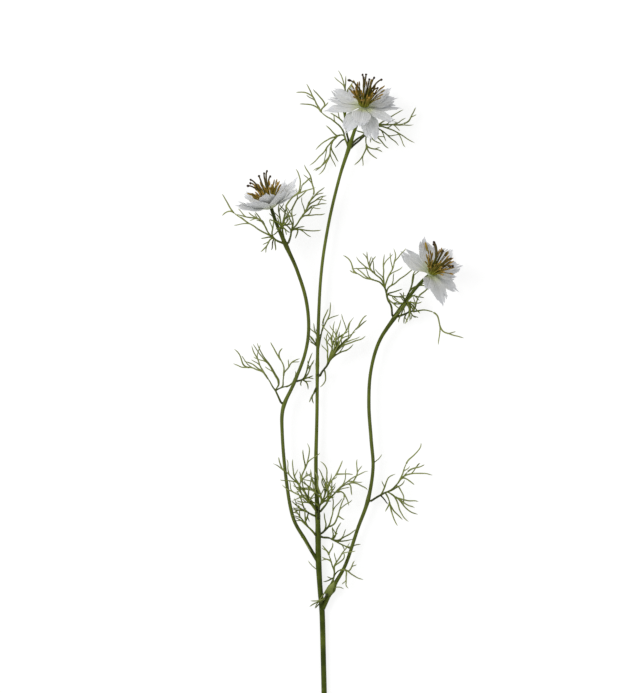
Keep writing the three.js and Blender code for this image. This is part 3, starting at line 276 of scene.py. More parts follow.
# Bracts and leaves. Limbs: the limb it leaves, or -1 for the stalk, where on it, the tip, the bend,
# and how many side threads it has.
FRONDS = [
    Frond("bract_top_left", 3, (3, 182.5, 8.6), (0.8, 191.2, 9.5), 0.05, [
        (-1, 0.97, -16.2, 207.2, 12, 0.03, 1), (0, 1, -31.4, 212.2, 12, -0.2, 0),
        (0, 1, -26.4, 226, 18, -0.05, 1), (2, 0.56, -34, 220.3, 15, -0.16, 0),
        (0, 1, -10.5, 213.5, 13, 0.05, 0), (4, 0.6, -21.6, 222.6, 14, -0.08, 0),
        (-1, 0.9, -5.8, 188.2, 8, -0.3, 0), (6, 1, -24.2, 169.3, 3, 0.08, 1),
        (6, 0.96, -17.6, 162.5, 2, 0.2, 2), (8, 0.62, -19.8, 165.5, 2.2, 0.05, 0),
        (8, 0.4, -3, 171.6, 5, 0, 0), (6, 0.7, -19.5, 180, 7, -0.2, 0), (-1, 0.7, -6, 181.5, 6, 0, 0),
        (6, 0.8, -12, 198, 6, -0.05, 0),
    ]),
    Frond("bract_top_right", 5, (5.8, 183.6, 10.2), (15.3, 191.4, 11), 0, [
        (-1, 1, 27, 184.6, 8, -0.2, 1), (-1, 0.97, 16.6, 183.2, 7, 0, 0), (1, 0.95, 28.3, 178.6, 5, 0.1, 1),
        (1, 1, 24.3, 173.9, 3, -0.18, 0), (1, 1, 8, 169.5, 2.5, 0.16, 1), (-1, 1, 9, 194.2, 9, 0.1, 0),
    ]),
    Frond("bract_top_far", 8, (5, 181.4, 8), (23.5, 196.6, 5.5), 0, [
        (-1, 1, 44, 199, 5, -0.06, 2), (0, 1, 52, 210.5, 7, -0.04, 1), (-1, 0.97, 50, 198.4, 3, -0.03, 1),
        (-1, 0.97, 51.2, 185.5, 3, 0.05, 2), (-1, 0.93, 40, 183.4, 4, 0.06, 2),
        (-1, 0.8, 32.6, 181.3, 2.5, -0.04, 1), (-1, 1, 43.5, 208.6, 8, 0.06, 1),
    ]),
    Frond("bract_top_back", 9, (3.4, 184.5, 6.8), (1.6, 205, 4), 0.03, [
        (-1, 1, -3.5, 236.6, 9, -0.16, 2), (-1, 1, 2.2, 233.5, 6, 0.03, 1), (-1, 0.9, -3, 216, 4, 0.1, 1),
        (-1, 0.6, -9, 207, 3, -0.1, 1),
    ]),
    Frond("bract_left_outer", 12, (-41.2, 111, 16), (-50, 116.2, 17.5), 0.04, [
        (-1, 1, -79.4, 135.6, 16, 0.05, 1), (0, 1, -86.6, 147, 20, -0.12, 0),
        (0, 0.98, -86.4, 132.6, 14, -0.3, 0), (0, 0.66, -73, 132, 12, 0, 0), (-1, 1, -57, 128, 20, 0.08, 0),
        (4, 0.98, -76, 133.4, 18.5, 0.1, 2), (4, 0.92, -67, 134.2, 24, 0.04, 1),
        (4, 0.7, -62, 133.8, 27.5, 0, 1), (-1, 1, -50, 130, 25, -0.1, 1), (-1, 1, -59, 106.2, 13, 0.05, 2),
        (-1, 1, -59, 116.4, 12, -0.1, 0), (-1, 0.98, -51.8, 108.4, 13, 0.1, 0),
        (-1, 0.9, -48.4, 107.6, 12, 0.1, 0),
    ]),
    Frond("bract_left_inner", 14, (-39.3, 112.6, 17), (-36, 121.6, 18), 0.08, [
        (-1, 1, -21.6, 147.4, 24, -0.08, 1), (0, 1, -27.6, 167.4, 28, -0.05, 1),
        (1, 0.55, -30, 152.4, 25, 0, 0), (0, 0.8, -13, 152, 20, 0.12, 1),
        (0, 0.62, -12, 146.6, 17, 0.16, 1), (0, 0.5, -11.5, 141, 14, 0.2, 2),
        (0, 0.4, -13, 133.9, 10, 0, 1), (-1, 0.86, -16, 122.4, 9, -0.08, 1),
        (7, 0.4, -34, 116.2, 11, 0.1, 0), (-1, 1, -40.2, 140, 31, 0.14, 1), (9, 1, -20, 151.2, 35, 0.14, 1),
        (10, 0.62, -34, 163.8, 37, -0.3, 0), (-1, 1, -35.5, 140, 24, 0.05, 1),
        (12, 1, -25, 149.5, 29, 0.12, 1), (-1, 1, -43.2, 129, 16, 0.1, 1),
        (-1, 1, -27.5, 124.6, 14, 0.1, 0),
    ]),
    Frond("bract_left_under", 17, (-42.4, 114.4, 14.5), (-43.5, 123, 10), 0, [
        (-1, 1, -46, 141, 8, 0.1, 2), (-1, 1, -41.5, 141, 5, -0.1, 2), (-1, 0.95, -53.5, 134.5, 4, -0.1, 1),
        (-1, 0.9, -36, 139, 3, 0.1, 1),
    ]),
    Frond("bract_right_outer", 22, (35.4, 61.6, 9.4), (29.6, 81.5, 12), 0.07, [
        (-1, 1, 9, 103, 15, 0.05, 2), (0, 0.5, 17, 106.5, 19, 0.1, 2), (0, 0.6, 23.5, 103, 17, 0.12, 0),
        (-1, 1, 8, 93.2, 10, 0.14, 1), (3, 1, 0, 104, 9, -0.24, 0), (3, 0.98, 4.5, 93.8, 8, 0.04, 0),
        (3, 0.56, 9.5, 96, 7, 0.04, 0), (-1, 1, 29.4, 104.5, 16, 0.05, 2), (-1, 1, 35.6, 109, 19, -0.24, 3),
        (-1, 0.86, 50.6, 97, 10, -0.14, 1), (-1, 0.82, 42.5, 80.4, 9, -0.05, 0),
        (-1, 0.82, 46, 73.8, 7.5, -0.1, 2), (-1, 0.76, 40.6, 66.6, 12, -0.2, 1),
    ]),
    Frond("bract_right_inner", 26, (38.6, 60.4, 8.2), (50, 64.6, 9), 0.12, [
        (-1, 1, 64.5, 63.2, 8, 0.14, 0), (0, 1, 68.3, 40.5, 3, 0.12, 0),
        (1, 0.5, 86.8, 45.7, 3.5, -0.12, 1), (-1, 0.95, 56, 77, 10, 0.2, 1),
        (3, 0.95, 63.5, 88, 11, -0.3, 1), (-1, 0.77, 41, 74, 12, -0.2, 3), (-1, 0.88, 52, 60, 5, -0.3, 2),
        (-1, 0.6, 43.6, 55.6, 3, -0.1, 1), (-1, 0.9, 45, 69, 15, -0.4, 2),
    ]),
    Frond("bract_right_under", 28, (40.8, 65.6, 6.2), (48.2, 79.4, 4), 0, [
        (-1, 1, 54, 95, 3, 0.24, 1), (-1, 1, 51.5, 90, 2, 0.06, 0), (-1, 0.95, 62.5, 82, 3, 0.2, 1),
        (-1, 0.7, 58, 74, 2, 0.1, 1),
    ]),
    Frond("leaf_left", 31, (-44.2, -1, 9), (-48.5, 7.4, 10), 0, [
        (-1, 1, -55, 18, 12, 0.06, 0), (0, 1, -79, 27.2, 14, 0.04, 1), (1, 0.62, -78, 37.6, 16, -0.14, 0),
        (0, 0.95, -71, 28.6, 9, -0.12, 0), (0, 0.9, -65, 39.6, 18, 0.04, 2),
        (-1, 1, -46.4, 13.2, 13, -0.25, 0), (5, 1, -64.4, 40.8, 20, 0, 1),
        (5, 0.7, -61.2, 41.6, 17, 0.06, 1), (-1, 0.98, -39.4, 10.4, 5, 0.1, 0),
        (8, 1, -34.4, 22, 4, -0.25, 0), (8, 0.7, -41.6, 21, 6, 0.12, 0), (10, 1, -46.4, 32.6, 9, -0.08, 0),
        (11, 1, -51.5, 42.6, 12, 0.14, 0), (11, 0.98, -43, 38.5, 10, 0.3, 0),
        (10, 0.98, -31, 30.2, 4.5, 0.2, 2),
    ]),
    Frond("leaf_between", 33, (-33.6, 14.2, 9.5), (-29, 15, 5), 0, [
        (-1, 1, -21.5, 18.5, 3, 0.1, 1), (-1, 1, -21, 29.6, 5, 0.04, 1), (-1, 0.9, -21.8, 34.8, 4, 0.14, 1),
        (-1, 1, -25, 8.2, 2.5, 0.3, 1), (-1, 0.9, -30, 10.8, 2, -0.3, 0),
    ]),
    Frond("leaf_right", 36, (-16.6, 18.4, 8.4), (-10.2, 28, 11), 0, [
        (-1, 1, 10.4, 53.4, 15, 0, 3), (0, 1, 17.2, 61.2, 16, 0.16, 0), (0, 0.95, 17, 57.6, 13, 0.06, 0),
        (0, 0.45, 15.8, 46.8, 12, -0.14, 0), (-1, 1, -1.5, 58.4, 19, 0.04, 3),
        (-1, 1, 7.2, 60, 22, 0.03, 3), (-1, 0.85, -6, 57.5, 14, 0.04, 3), (-1, 0.8, -11, 49.6, 11, 0.1, 2),
        (-1, 0.5, -16.5, 9.8, 5, 0.4, 0),
    ]),
    Frond("leaf_back", 37, (-19, 26, 4.5), (-17.5, 37, 3), 0, [
        (-1, 1, -24, 45.5, 2, 0, 1), (-1, 1, -22, 56, 3.5, -0.05, 2), (-1, 1, -14.4, 59, 3, -0.05, 1),
        (2, 0.92, -10, 66.6, 3, 0.05, 0), (2, 0.68, -9.2, 71, 2, -0.22, 1),
        (-1, 0.8, -25, 48.4, 1.5, -0.05, 1),
    ]),
    Frond("leaf_low_left", 41, (-19.6, -77, 7), (-24.5, -69.5, 10), 0, [
        (-1, 1, -50, -44, 14, -0.1, 2), (0, 0.78, -46, -39, 17, 0.12, 0), (0, 0.3, -36, -41, 19, 0.15, 1),
        (-1, 0.4, -43.4, -59.8, 10, 0.08, 2), (-1, 0.95, -29.6, -56, 15, 0.1, 0),
        (4, 1, -25.6, -29.6, 17, -0.26, 1), (5, 0.42, -29, -33.8, 20, 0, 0),
        (4, 1, -22.4, -51, 14, 0.12, 1), (-1, 0.9, -23.8, -48, 17, -0.1, 1),
    ]),
    Frond("leaf_low_right", 43, (-16.2, -79.5, 7), (-10.6, -71, 11), 0, [
        (-1, 1, 5.8, -57.6, 16, 0.16, 1), (0, 1, 9.8, -41, 18, -0.06, 1),
        (0, 0.97, 17.2, -63.2, 12, 0.1, 0), (0, 0.9, 6.2, -66.8, 11, 0.1, 0),
        (-1, 1, 17.8, -49.2, 20, 0.14, 2), (0, 0.5, 4.2, -75, 8, 0.2, 1),
        (-1, 0.9, -8, -54.5, 22, -0.05, 1), (-1, 0.8, -18.2, -46.8, 20, -0.12, 1),
        (7, 0.5, -4, -49.4, 22, 0, 0), (8, 1, -1, -41, 24, -0.05, 0), (8, 0.94, 6.6, -51.8, 22, 0.05, 0),
        (7, 0.6, -16.8, -41.8, 22, -0.3, 0),
    ]),
    Frond("leaf_low_fan", 47, (-20.2, -82, 4.8), (-24.5, -80, 5), 0, [
        (-1, 1, -37, -71, 3, 0.1, 2), (-1, 1, -37, -78, 2, -0.1, 2), (-1, 1, -33, -64, 4, 0, 2),
        (-1, 0.9, -27.6, -87, 2, 0.1, 1),
    ]),
    Frond("leaf_low_down", 52, (-20, -96, 5.2), (-25.2, -89.6, 6), 0, [
        (-1, 1, -36, -75.5, 8, 0.05, 3), (-1, 0.7, -34.6, -83.4, 5, -0.1, 2), (-1, 1, -27, -76, 10, 0.1, 1),
    ]),
    Frond("leaf_low_rise", 55, (-15.8, -94.8, 5.5), (-9.6, -90.2, 7), 0.05, [
        (-1, 1, 1.6, -67, 6, 0.02, 1), (-1, 0.6, -8, -67, 3, -0.1, 1), (0, 0.45, 1.2, -84.2, 10, -0.2, 0),
        (-1, 0.3, -13.8, -80, 4, -0.1, 0),
    ]),
    Frond("leaf_low_arc", 58, (-15.6, -97.2, 4.6), (-8.4, -99, 5.5), 0.1, [
        (-1, 1, 7.4, -98.7, 3, -0.08, 1), (-1, 1, 9.4, -91.6, 9, -0.06, 1),
        (-1, 1, 5.4, -106.2, 1.8, -0.04, 1), (2, 0.8, 12.8, -102.8, 1.5, 0, 0),
        (-1, 1, -7.8, -90.5, 8, -0.1, 1), (-1, 1, -1.8, -86.6, 8, 0.1, 1),
    ]),
    Frond("leaf_base", 61, (-9.8, -134, 5.4), (-6.6, -125.6, 7.4), -0.12, [
        (-1, 1, -10.2, -109.4, 8.5, 0, 0), (0, 1, -15, -102.9, 8.5, 0, 1),
        (0, 1, -7.4, -100.8, 10, -0.12, 0), (0, 0.7, -15.2, -111.6, 8, 0.1, 1),
        (0, 0.25, 4.2, -101, 12, -0.02, 2), (4, 0.25, 0.8, -107.6, 10, -0.4, 0),
        (-1, 0.9, -14.4, -129.4, 6.5, 0.12, 1), (-1, 1, -0.6, -120.2, 10, 0.3, 0),
        (7, 1, 14.6, -128.4, 3, -0.12, 0), (8, 0.45, 8.4, -114.4, 8, 0, 1),
        (8, 0.3, 3.8, -134.8, 4, -0.2, 1), (-1, 0.3, -20.6, -148.6, 4.5, 0, 1),
    ]),
    Frond("leaf_far_right", 64, (19.4, -71.4, 6.5), (32.4, -64.4, 8), 0, [
        (-1, 1, 46.4, -49.6, 11, -0.05, 0), (0, 1, 58, -45.4, 13, -0.04, 1),
        (0, 0.5, 45.4, -43.6, 14, 0.1, 1), (2, 1, 55, -29.4, 15, -0.24, 0),
        (0, 0.75, 63.5, -53, 9, 0.14, 1), (0, 0.7, 51, -60.2, 6, 0.14, 0),
        (0, 0.35, 43.8, -74.4, 4, 0.26, 0), (-1, 0.98, 44, -56.4, 6, -0.2, 0), (-1, 1, 39.5, -70, 6, 0, 0),
        (8, 1, 54.2, -71.8, 7, 0.04, 0), (8, 1, 53.4, -82, 3, -0.14, 0),
        (8, 0.97, 51.4, -76.6, 5, -0.04, 0), (8, 0.6, 46.6, -86.6, 2, -0.14, 0),
        (-1, 0.97, 34, -76, 5, -0.04, 0), (13, 1, 39.2, -89.6, 2, -0.1, 0),
        (13, 0.96, 42.8, -85.6, 4, 0, 0), (13, 0.98, 30, -79.2, 3, -0.1, 0),
        (-1, 0.74, 37.2, -52, 12, 0.3, 1), (-1, 0.75, 32, -74, 3, -0.05, 0),
    ]),
]

# Finer growth at the nodes
FINE_FRONDS = [
    Frond("fine_low", 71, (-18.3, -84, 6.2), (-16, -73, 9), 0.05, [
        (-1, 1, -31, -54, 14, 0.06, 2), (-1, 1, -24, -50, 16, 0.1, 2), (-1, 1, -8.5, -51, 13, -0.08, 2),
        (-1, 0.96, -5.5, -60, 11, -0.1, 2), (-1, 0.9, -6, -68, 9, 0.1, 1), (-1, 1, -18, -55, 17, 0.12, 1),
        (0, 0.5, -36, -60, 11, 0.1, 1), (1, 0.45, -20.5, -49.5, 18, -0.2, 0),
        (2, 0.4, -14, -53, 16, 0.2, 0), (-1, 0.8, -28, -70, 9, -0.12, 1),
    ]),
    Frond("fine_low_left", 73, (-18.6, -80, 5.8), (-24, -72.5, 10), -0.06, [
        (-1, 1, -36, -57, 13, 0.08, 1), (-1, 1, -30, -62, 14, -0.1, 2), (-1, 0.9, -33.5, -71, 10, 0.14, 1),
        (-1, 1, -20, -62, 14, -0.2, 1), (0, 0.6, -31, -50, 15, -0.2, 0),
    ]),
    Frond("fine_right_knot", 75, (43, 69, 8.8), (44.5, 70.5, 11), 0.1, [
        (-1, 1, 35, 60, 12, 0.14, 1), (-1, 1, 39, 56.5, 12, -0.1, 1), (-1, 1, 47.5, 57.5, 11, 0.16, 1),
        (-1, 1, 55, 62.5, 11, 0.1, 1), (-1, 1, 56, 71, 12, -0.16, 1), (-1, 1, 51.5, 76.5, 14, 0.12, 0),
        (-1, 1, 39.5, 77, 14, -0.12, 1), (-1, 1, 35, 70, 13, 0.2, 1), (-1, 1, 50, 65, 14, 0.2, 0),
        (-1, 1, 40.5, 64, 14, -0.24, 0), (2, 0.7, 44, 55.5, 12, 0.1, 0), (7, 0.5, 34.5, 75.5, 12, 0.2, 0),
    ]),
    Frond("fine_left_knot", 77, (-45, 121, 18.2), (-44, 124.5, 20.8), 0.1, [
        (-1, 1, -52.5, 129.5, 23, 0.1, 1), (-1, 1, -38.5, 130.5, 22, -0.12, 1),
        (-1, 1, -40.5, 133, 24, 0.16, 0), (-1, 1, -50.5, 118, 20, 0.2, 1),
        (-1, 1, -37.5, 120, 19, -0.14, 1), (-1, 1, -35, 126, 20, 0.12, 1),
        (-1, 0.9, -46.5, 131.5, 22, -0.1, 0),
    ]),
    Frond("fine_leaf_right", 79, (-16.6, 18.4, 8.6), (-9.2, 29.6, 11.6), -0.04, [
        (-1, 1, -8, 47.5, 13, 0.06, 2), (-1, 1, -2.5, 49.5, 14, -0.06, 2), (-1, 1, 4, 46.5, 13, 0.06, 2),
        (-1, 1, 7.5, 40.5, 12, -0.08, 1), (-1, 0.94, 3, 36.5, 12, 0.1, 1),
    ]),
    Frond("fine_between", 81, (-19.4, 8.6, 6.6), (-21.6, 5, 7.4), 0.1, [
        (-1, 1, -24.5, -0.8, 7, 0.1, 0), (-1, 1, -21, -1.5, 6.5, -0.16, 0),
    ]),
    Frond("fine_sheath", 83, (-10.6, -137.4, 6.4), (-14, -141.8, 7), 0.08, [
        (-1, 1, -20.3, -148.8, 6.4, 0.1, 0), (-1, 1, -24, -146.9, 6.2, -0.06, 0),
        (-1, 0.7, -23.4, -143, 6.4, 0.1, 0),
    ]),
]

# Single threads: root, tip and bend
STRAYS = [
    (-17.6, -122, 3.6, -25, -114.5, 5.5, 0.1), (-29.6, -96.5, 5.8, -22.5, -107.5, 6.5, -0.1),
    (-7.6, -133.4, 6.4, 0.6, -134.4, 6.6, 0.12), (-19.6, -57, 4.7, -26.5, -50.5, 8, 0.12),
    (-18.5, 38.6, 6.2, -24.5, 46, 8.5, 0.1), (21.3, -45, 6.8, 27.5, -37.5, 8, -0.1),
]


# Shapes

class Shape:
    """Corners and faces gathered for one piece, with two values at each corner: tone and across."""

    def __init__(self):
        self.corners = []
        self.faces = []
        self.tones = []
        self.across = []

    def add(self, corners, faces, tones, across=None):
        """Adds corners, given in millimetres and kept above the floor, and the faces between them."""
        first = len(self.corners)
        self.corners += [Vector((corner.x, corner.y, max(corner.z, 0))) * MM for corner in corners]
        self.faces += [[first + corner for corner in face] for face in faces]
        self.tones += tones
        self.across += across or [0.0] * len(tones)

    def piece(self, name, material):
        """Makes the mesh object, smooth, with its material, and lets it ride on the part."""
        mesh = bpy.data.meshes.new(name)
        mesh.from_pydata(self.corners, [], self.faces)
        mesh.polygons.foreach_set("use_smooth", [True] * len(mesh.polygons))
        for key, values in (("tone", self.tones), ("across", self.across)):
            attribute = mesh.attributes.new(key, "FLOAT", "POINT")
            attribute.data.foreach_set("value", values)
        mesh.materials.append(material)
        mesh.update()
        made = new_object(name, mesh)
        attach(made, "root")
        return made


def new_object(name, data):
    """A new object in the scene, with that mesh, lamp or camera."""
    made = bpy.data.objects.new(name, data)
    bpy.context.scene.collection.objects.link(made)
    return made


def mix(a, b, t):
    return a + (b - a) * t


def shares(count):
    """count + 1 places, from 0 to 1."""
    return [n / count for n in range(count + 1)]


def smooth_step(x, low, high):
    t = min(max((x - low) / (high - low), 0.0), 1.0)
    return t * t * (3.0 - 2.0 * t)


def seeded_draws(seed):
    """A function that gives the next of a row of draws, each between 0 and 1."""
    state = seed * DRAWS["spread"] + DRAWS["start"]

    def draw():
        nonlocal state
        state = (state * DRAWS["factor"]) % DRAWS["limit"]
        return state / DRAWS["limit"]

    return draw


def rest_on_floor(z, lowest):
    """The height, raised smoothly where it would fall below the lowest."""
    return lowest + FLOOR_SOFTNESS * math.log1p(math.exp((z - lowest) / FLOOR_SOFTNESS))


def turns(sides):
    """The angles of the sides round a ring."""
    return [2 * math.pi * k / sides for k in range(sides)]


def add_rings(shape, corners, sides, tones, first_closed=True):
    """Adds rings of corners joined by faces, with their ends closed. There is one tone for each ring."""
    faces = []
    last = len(corners) - sides
    for a in range(last):
        b = a + 1 if (a + 1) % sides else a + 1 - sides
        faces.append((a, b, b + sides, a + sides))
    if first_closed:
        faces.append(list(reversed(range(sides))))
    faces.append(list(range(last, last + sides)))
    shape.add(corners, faces, [tone for tone in tones for _ in range(sides)])


def tube(shape, points, radii, tones, sides, relief=None):
    """Adds a tube with closed ends through the points. relief(angle, place) scales its radius."""
    corners = []
    normal = None
    for n, (point, radius) in enumerate(zip(points, radii)):
        tangent = (points[min(n + 1, len(points) - 1)] - points[max(n - 1, 0)]).normalized()
        guide = normal or (Vector((0, 0, 1)) if abs(tangent.z) < STEEP else Vector((1, 0, 0)))
        normal = (guide - tangent * guide.dot(tangent)).normalized()
        side = tangent.cross(normal)
        for angle in turns(sides):
            scale = relief(angle, n / len(points)) if relief else 1.0
            corners.append(point + (normal * math.cos(angle) + side * math.sin(angle)) * radius * scale)
    add_rings(shape, corners, sides, tones)


# Stems

def catmull_rom(a, b, c, d, t):
    """The place t of the way from b to c on a smooth curve through all four."""
    square = 2 * a - 5 * b + 4 * c - d
    cube = 3 * b - a - 3 * c + d
    return 0.5 * (2 * b + (c - a) * t + square * t * t + cube * t ** 3)


def with_ends(places):
    """The places as vectors, with one more beyond each end, which the curve through them needs."""
    nodes = [Vector(place) for place in places]
    return [2 * nodes[0] - nodes[1], *nodes, 2 * nodes[-1] - nodes[-2]]


def stem_path(rows):
    """Points and radii along a stem, close together."""
    nodes = with_ends([row[:3] for row in rows])
    points = []
    radii = []
    for span in range(len(rows) - 1):
        a, b, c, d = nodes[span:span + 4]
        steps = max(STEM_LEAST_STEPS, math.ceil((c - b).length / STEM_STEP))
        for step in range(steps + (span == len(rows) - 2)):
            t = step / steps
            points.append(catmull_rom(a, b, c, d, t))
            radii.append(mix(rows[span][3], rows[span + 1][3], smooth_step(t, 0.0, 1.0)))
    return points, radii


def stem_relief(angle, place):
    """Fine ribs along the stem, which wander a little round it."""
    wander = RIB_WANDER["reach"] * math.sin(RIB_WANDER["turns"] * place)
    return 1.0 + RIB_DEPTH * math.cos(STEM_RIBS * angle + wander)


def swollen(point, radius):
    """The stem's radius, thicker at each node where a leaf leaves it."""
    nearest = min((point - Vector(frond.root)).length for frond in FRONDS)
    return radius * (1 + NODE_SWELLING * math.exp(-(nearest / NODE_LENGTH) ** 2))


def stem(name, rows, material):
    """A ribbed stem, in place of the part's own."""
    points, radii = stem_path(rows)
    radii = [swollen(point, radius) for point, radius in zip(points, radii)]
    shape = Shape()
    tube(shape, points, radii, shares(len(points) - 1), STEM_SIDES, stem_relief)
    made = shape.piece(name + "_skin", material)
    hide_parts(name)


def sheath(material):
    """The ribbed, boat-shaped leaf sheath that clasps the foot of the right stem."""
    nodes = with_ends(SHEATH)
    points = []
    for span in range(len(SHEATH) - 1):
        points += [catmull_rom(*nodes[span:span + 4], step / SHEATH_STEPS) for step in range(SHEATH_STEPS)]
    points.append(nodes[-2])
    places = shares(len(points) - 1)
    shift, sharpness = SHEATH_FULLNESS
    swells = [math.sin(math.pi * place ** shift) ** sharpness for place in places]
    radii = [SHEATH_END + SHEATH_RADIUS * swell for swell in swells]
    shape = Shape()
    tube(shape, points, radii, places, SHEATH_SIDES, sheath_relief)
    shape.piece("leaf_sheath", material)


def sheath_relief(angle, _):
    """Flattened from above, with ribs along it."""
    flat = 1 / math.hypot(math.cos(angle) / SHEATH_FLATNESS, math.sin(angle))
    return flat * (1 + SHEATH_RIB_DEPTH * math.cos(SHEATH_RIBS * angle))


def cut_end(rows, material):
    """The cut face of the stem: a paler, slightly hollow disc."""
    centre = Vector(rows[0][:3])
    outward = (centre - Vector(rows[1][:3])).normalized()
    across = outward.cross(Vector((0, 0, 1))).normalized()
    up = across.cross(outward)
    radius = rows[0][3]
    corners = []
    for share, proud in CUT_PROFILE:
        for angle in turns(CUT_SIDES):
            round_it = across * math.cos(angle) + up * math.sin(angle)
            corners.append(centre + round_it * radius * share + outward * proud)
    shape = Shape()
    add_rings(shape, corners, CUT_SIDES, [share for share, _ in CUT_PROFILE], first_closed=False)
    shape.piece("stem_cut_face", material)


# Leaves and bracts

def thread_curve(start, heading, tip, bend, departure=DEPARTURE):
    """The four control points of a thread. A bend above 0 bows its outer half to the left."""
    leaving = start + heading.normalized() * departure * (tip - start).length
    arriving = start.lerp(tip, LATE)
    arriving.x -= (tip.y - start.y) * bend
    arriving.y += (tip.x - start.x) * bend
    return start, leaving, arriving, tip


def on_curve(curve, t):
    """The place t of the way along a curve with four control points."""
    a, b, c, d = curve
    u = 1 - t
    return a * u ** 3 + b * 3 * u * u * t + c * 3 * u * t * t + d * t ** 3


def slope(curve, t):
    """The direction in which the curve runs there."""
    a, b, c, d = curve
    u = 1 - t
    return (b - a) * 3 * u * u + (c - b) * 6 * u * t + (d - c) * 3 * t * t


def fork_curve(limb, at, side, draw):
    """A side thread that leaves a limb there, to its left where side is 1."""
    start = on_curve(limb, at)
    heading = slope(limb, at)
    flat = math.hypot(heading.x, heading.y)
    turn = side * math.radians(FORK["turn"] + FORK["turn_spread"] * draw())
    share = FORK["reach"] + FORK["reach_spread"] * draw()
    reach = min(max((limb[3] - limb[0]).length * share, FORK["shortest"]), FORK["longest"])
    direction = math.atan2(heading.y, heading.x) + turn
    rise = heading.z / flat + FORK["rise"] * (draw() - 0.5)
    run = Vector((math.cos(direction), math.sin(direction), rise))
    return thread_curve(start, heading, start + run * reach, side * FORK["bend"], FORK["departure"])


def frond_threads(frond):
    """Each thread of a frond: its curve, the radii of its two ends, and the tones there."""
    draw = seeded_draws(frond.seed)
    root = Vector(frond.root)
    hub = Vector(frond.hub)
    run = hub - root
    bend = frond.bend
    leaving = Vector((run.x + 2 * run.y * bend, run.y - 2 * run.x * bend, run.z))
    stalk = thread_curve(root, leaving, hub, bend)
    threads = [(stalk, STALK_RADII, (0.0, HUB_TONE))]
    limbs = []
    tones = []
    for parent, latest, x, y, z, bow, forks in frond.limbs:
        host = stalk if parent < 0 else limbs[parent]
        at = latest - ROOT_SPREAD * len(limbs)
        limb = thread_curve(on_curve(host, at), slope(host, at), Vector((x, y, z)), bow)
        first = HUB_TONE if parent < 0 else mix(*tones[parent], at)
        last = min(first + TONE_RISE * (limb[3] - limb[0]).length, 1.0)
        limbs.append(limb)
        tones.append((first, last))
        threads.append((limb, LIMB_RADII, (first, last)))
        side = 1 if draw() < 0.5 else -1
        for k in range(forks):
            place = FORK["first"] + FORK["spread"] * (k + FORK["unevenness"] * draw()) / forks
            fork = fork_curve(limb, place, side, draw)
            tone = mix(first, last, place)
            threads.append((fork, FORK_RADII, (tone, min(tone + FORK_PALER, 1.0))))
            side = -side
    return threads


def swayed(point):
    """The point moved sideways, by a field that moves threads that meet by the same amount."""
    spot = point * SWAY_LUMPS
    shift = Vector((noise.noise(spot), noise.noise(spot + Vector(SWAY_SHIFT)), 0))
    return point + shift * THREAD_SWAY


def add_thread(shape, curve, radii, tones):
    """Adds an uneven thread that sways along its curve and runs out to a point."""
    marks = [on_curve(curve, t) for t in shares(LENGTH_STEPS)]
    length = sum((b - a).length for a, b in zip(marks, marks[1:]))
    points = []
    widths = []
    shades = []
    paler = TONE_SPREAD * noise.noise(curve[3] * TONE_LUMPS)
    for t in shares(max(THREAD_LEAST_STEPS, math.ceil(length / THREAD_STEP))):
        point = swayed(on_curve(curve, t))
        point.z = rest_on_floor(point.z, THREAD_LOWEST)
        points.append(point)
        run_out = math.sqrt(max(1 - smooth_step(t, *TAPER_SPAN), POINT_SHARE))
        uneven = 1 + THREAD_UNEVENNESS * noise.noise(point * UNEVEN_LUMPS)
        widths.append(mix(*radii, t) * run_out * uneven)
        shades.append(mix(*tones, t) + paler * smooth_step(t, 0.0, TONE_SETTLED))
    tube(shape, points, widths, shades, THREAD_SIDES)


def grown_in(root):
    """The straight foot of a stalk, from its root into the middle of the nearest stem."""
    middle = min(STEM_MIDDLES, key=lambda point: (point - root).length)
    return root, *(root.lerp(middle, share) for share in FOOT_BENDS), middle


def frond_piece(frond, material):
    """A bract or leaf as one piece, with the foot of its stalk inside the stem."""
    shape = Shape()
    for curve, radii, tones in frond_threads(frond):
        add_thread(shape, curve, radii, tones)
    radius = STALK_RADII[0]
    add_thread(shape, grown_in(Vector(frond.root)), (radius, radius * STALK_FOOT), (0.0, 0.0))
    return shape.piece(frond.name + "_threads", material)


def stray_threads(material):
    """Single fine threads that leave a stem on their own."""
    shape = Shape()
    for x, y, z, tip_x, tip_y, tip_z, bend in STRAYS:
        root = Vector((x, y, z))
        tip = Vector((tip_x, tip_y, tip_z))
        add_thread(shape, thread_curve(root, tip - root, tip, bend), STRAY_RADII, STRAY_TONES)
    shape.piece("stray_threads", material)


# Blooms

class Bloom:
    """A bloom's petals, each with its layer, its place, and its directions: axis outward, side and front."""

    def __init__(self, data):
        self.data = data
        self.petals = [(*petal, 1 if k % 2 else -1) for k, petal in enumerate(data["petals"])]
        self.centre = Vector(data["centre"])
        self.axis = Vector(data["faces"]).normalized()
        self.side = Vector((0, 0, 1)).cross(self.axis).normalized()
        self.front = self.axis.cross(self.side)

    def point(self, angle, out, along):
        """The place that lies along the axis and out from it, in the direction angle round it."""
        across = self.side * math.cos(angle) + self.front * math.sin(angle)
        return self.centre + across * out + self.axis * along


def turned(shape, bloom, profile, sides, tones, lobes=0, lobe_depth=0.0):
    """Adds a shape turned round the bloom's axis, from [out, along] places, with rounded lobes round it."""
    corners = []
    for out, along in profile:
        for angle in turns(sides):
            swell = 1 - lobe_depth + lobe_depth * abs(math.cos(0.5 * lobes * angle))
            corners.append(bloom.point(angle, out * swell, along))
    add_rings(shape, corners, sides, [mix(*tones, t) for t in shares(len(profile) - 1)])


def petal_outline(s):
    """A petal's half width along it, for a petal two wide: a narrow foot, a broad middle, a blunter end."""
    broad = mix(PETAL_FOOT, 1.0, smooth_step(s, 0.0, PETAL_FULL))
    return broad * (1 - PETAL_NARROWING * min(s, 1.0) ** 3)


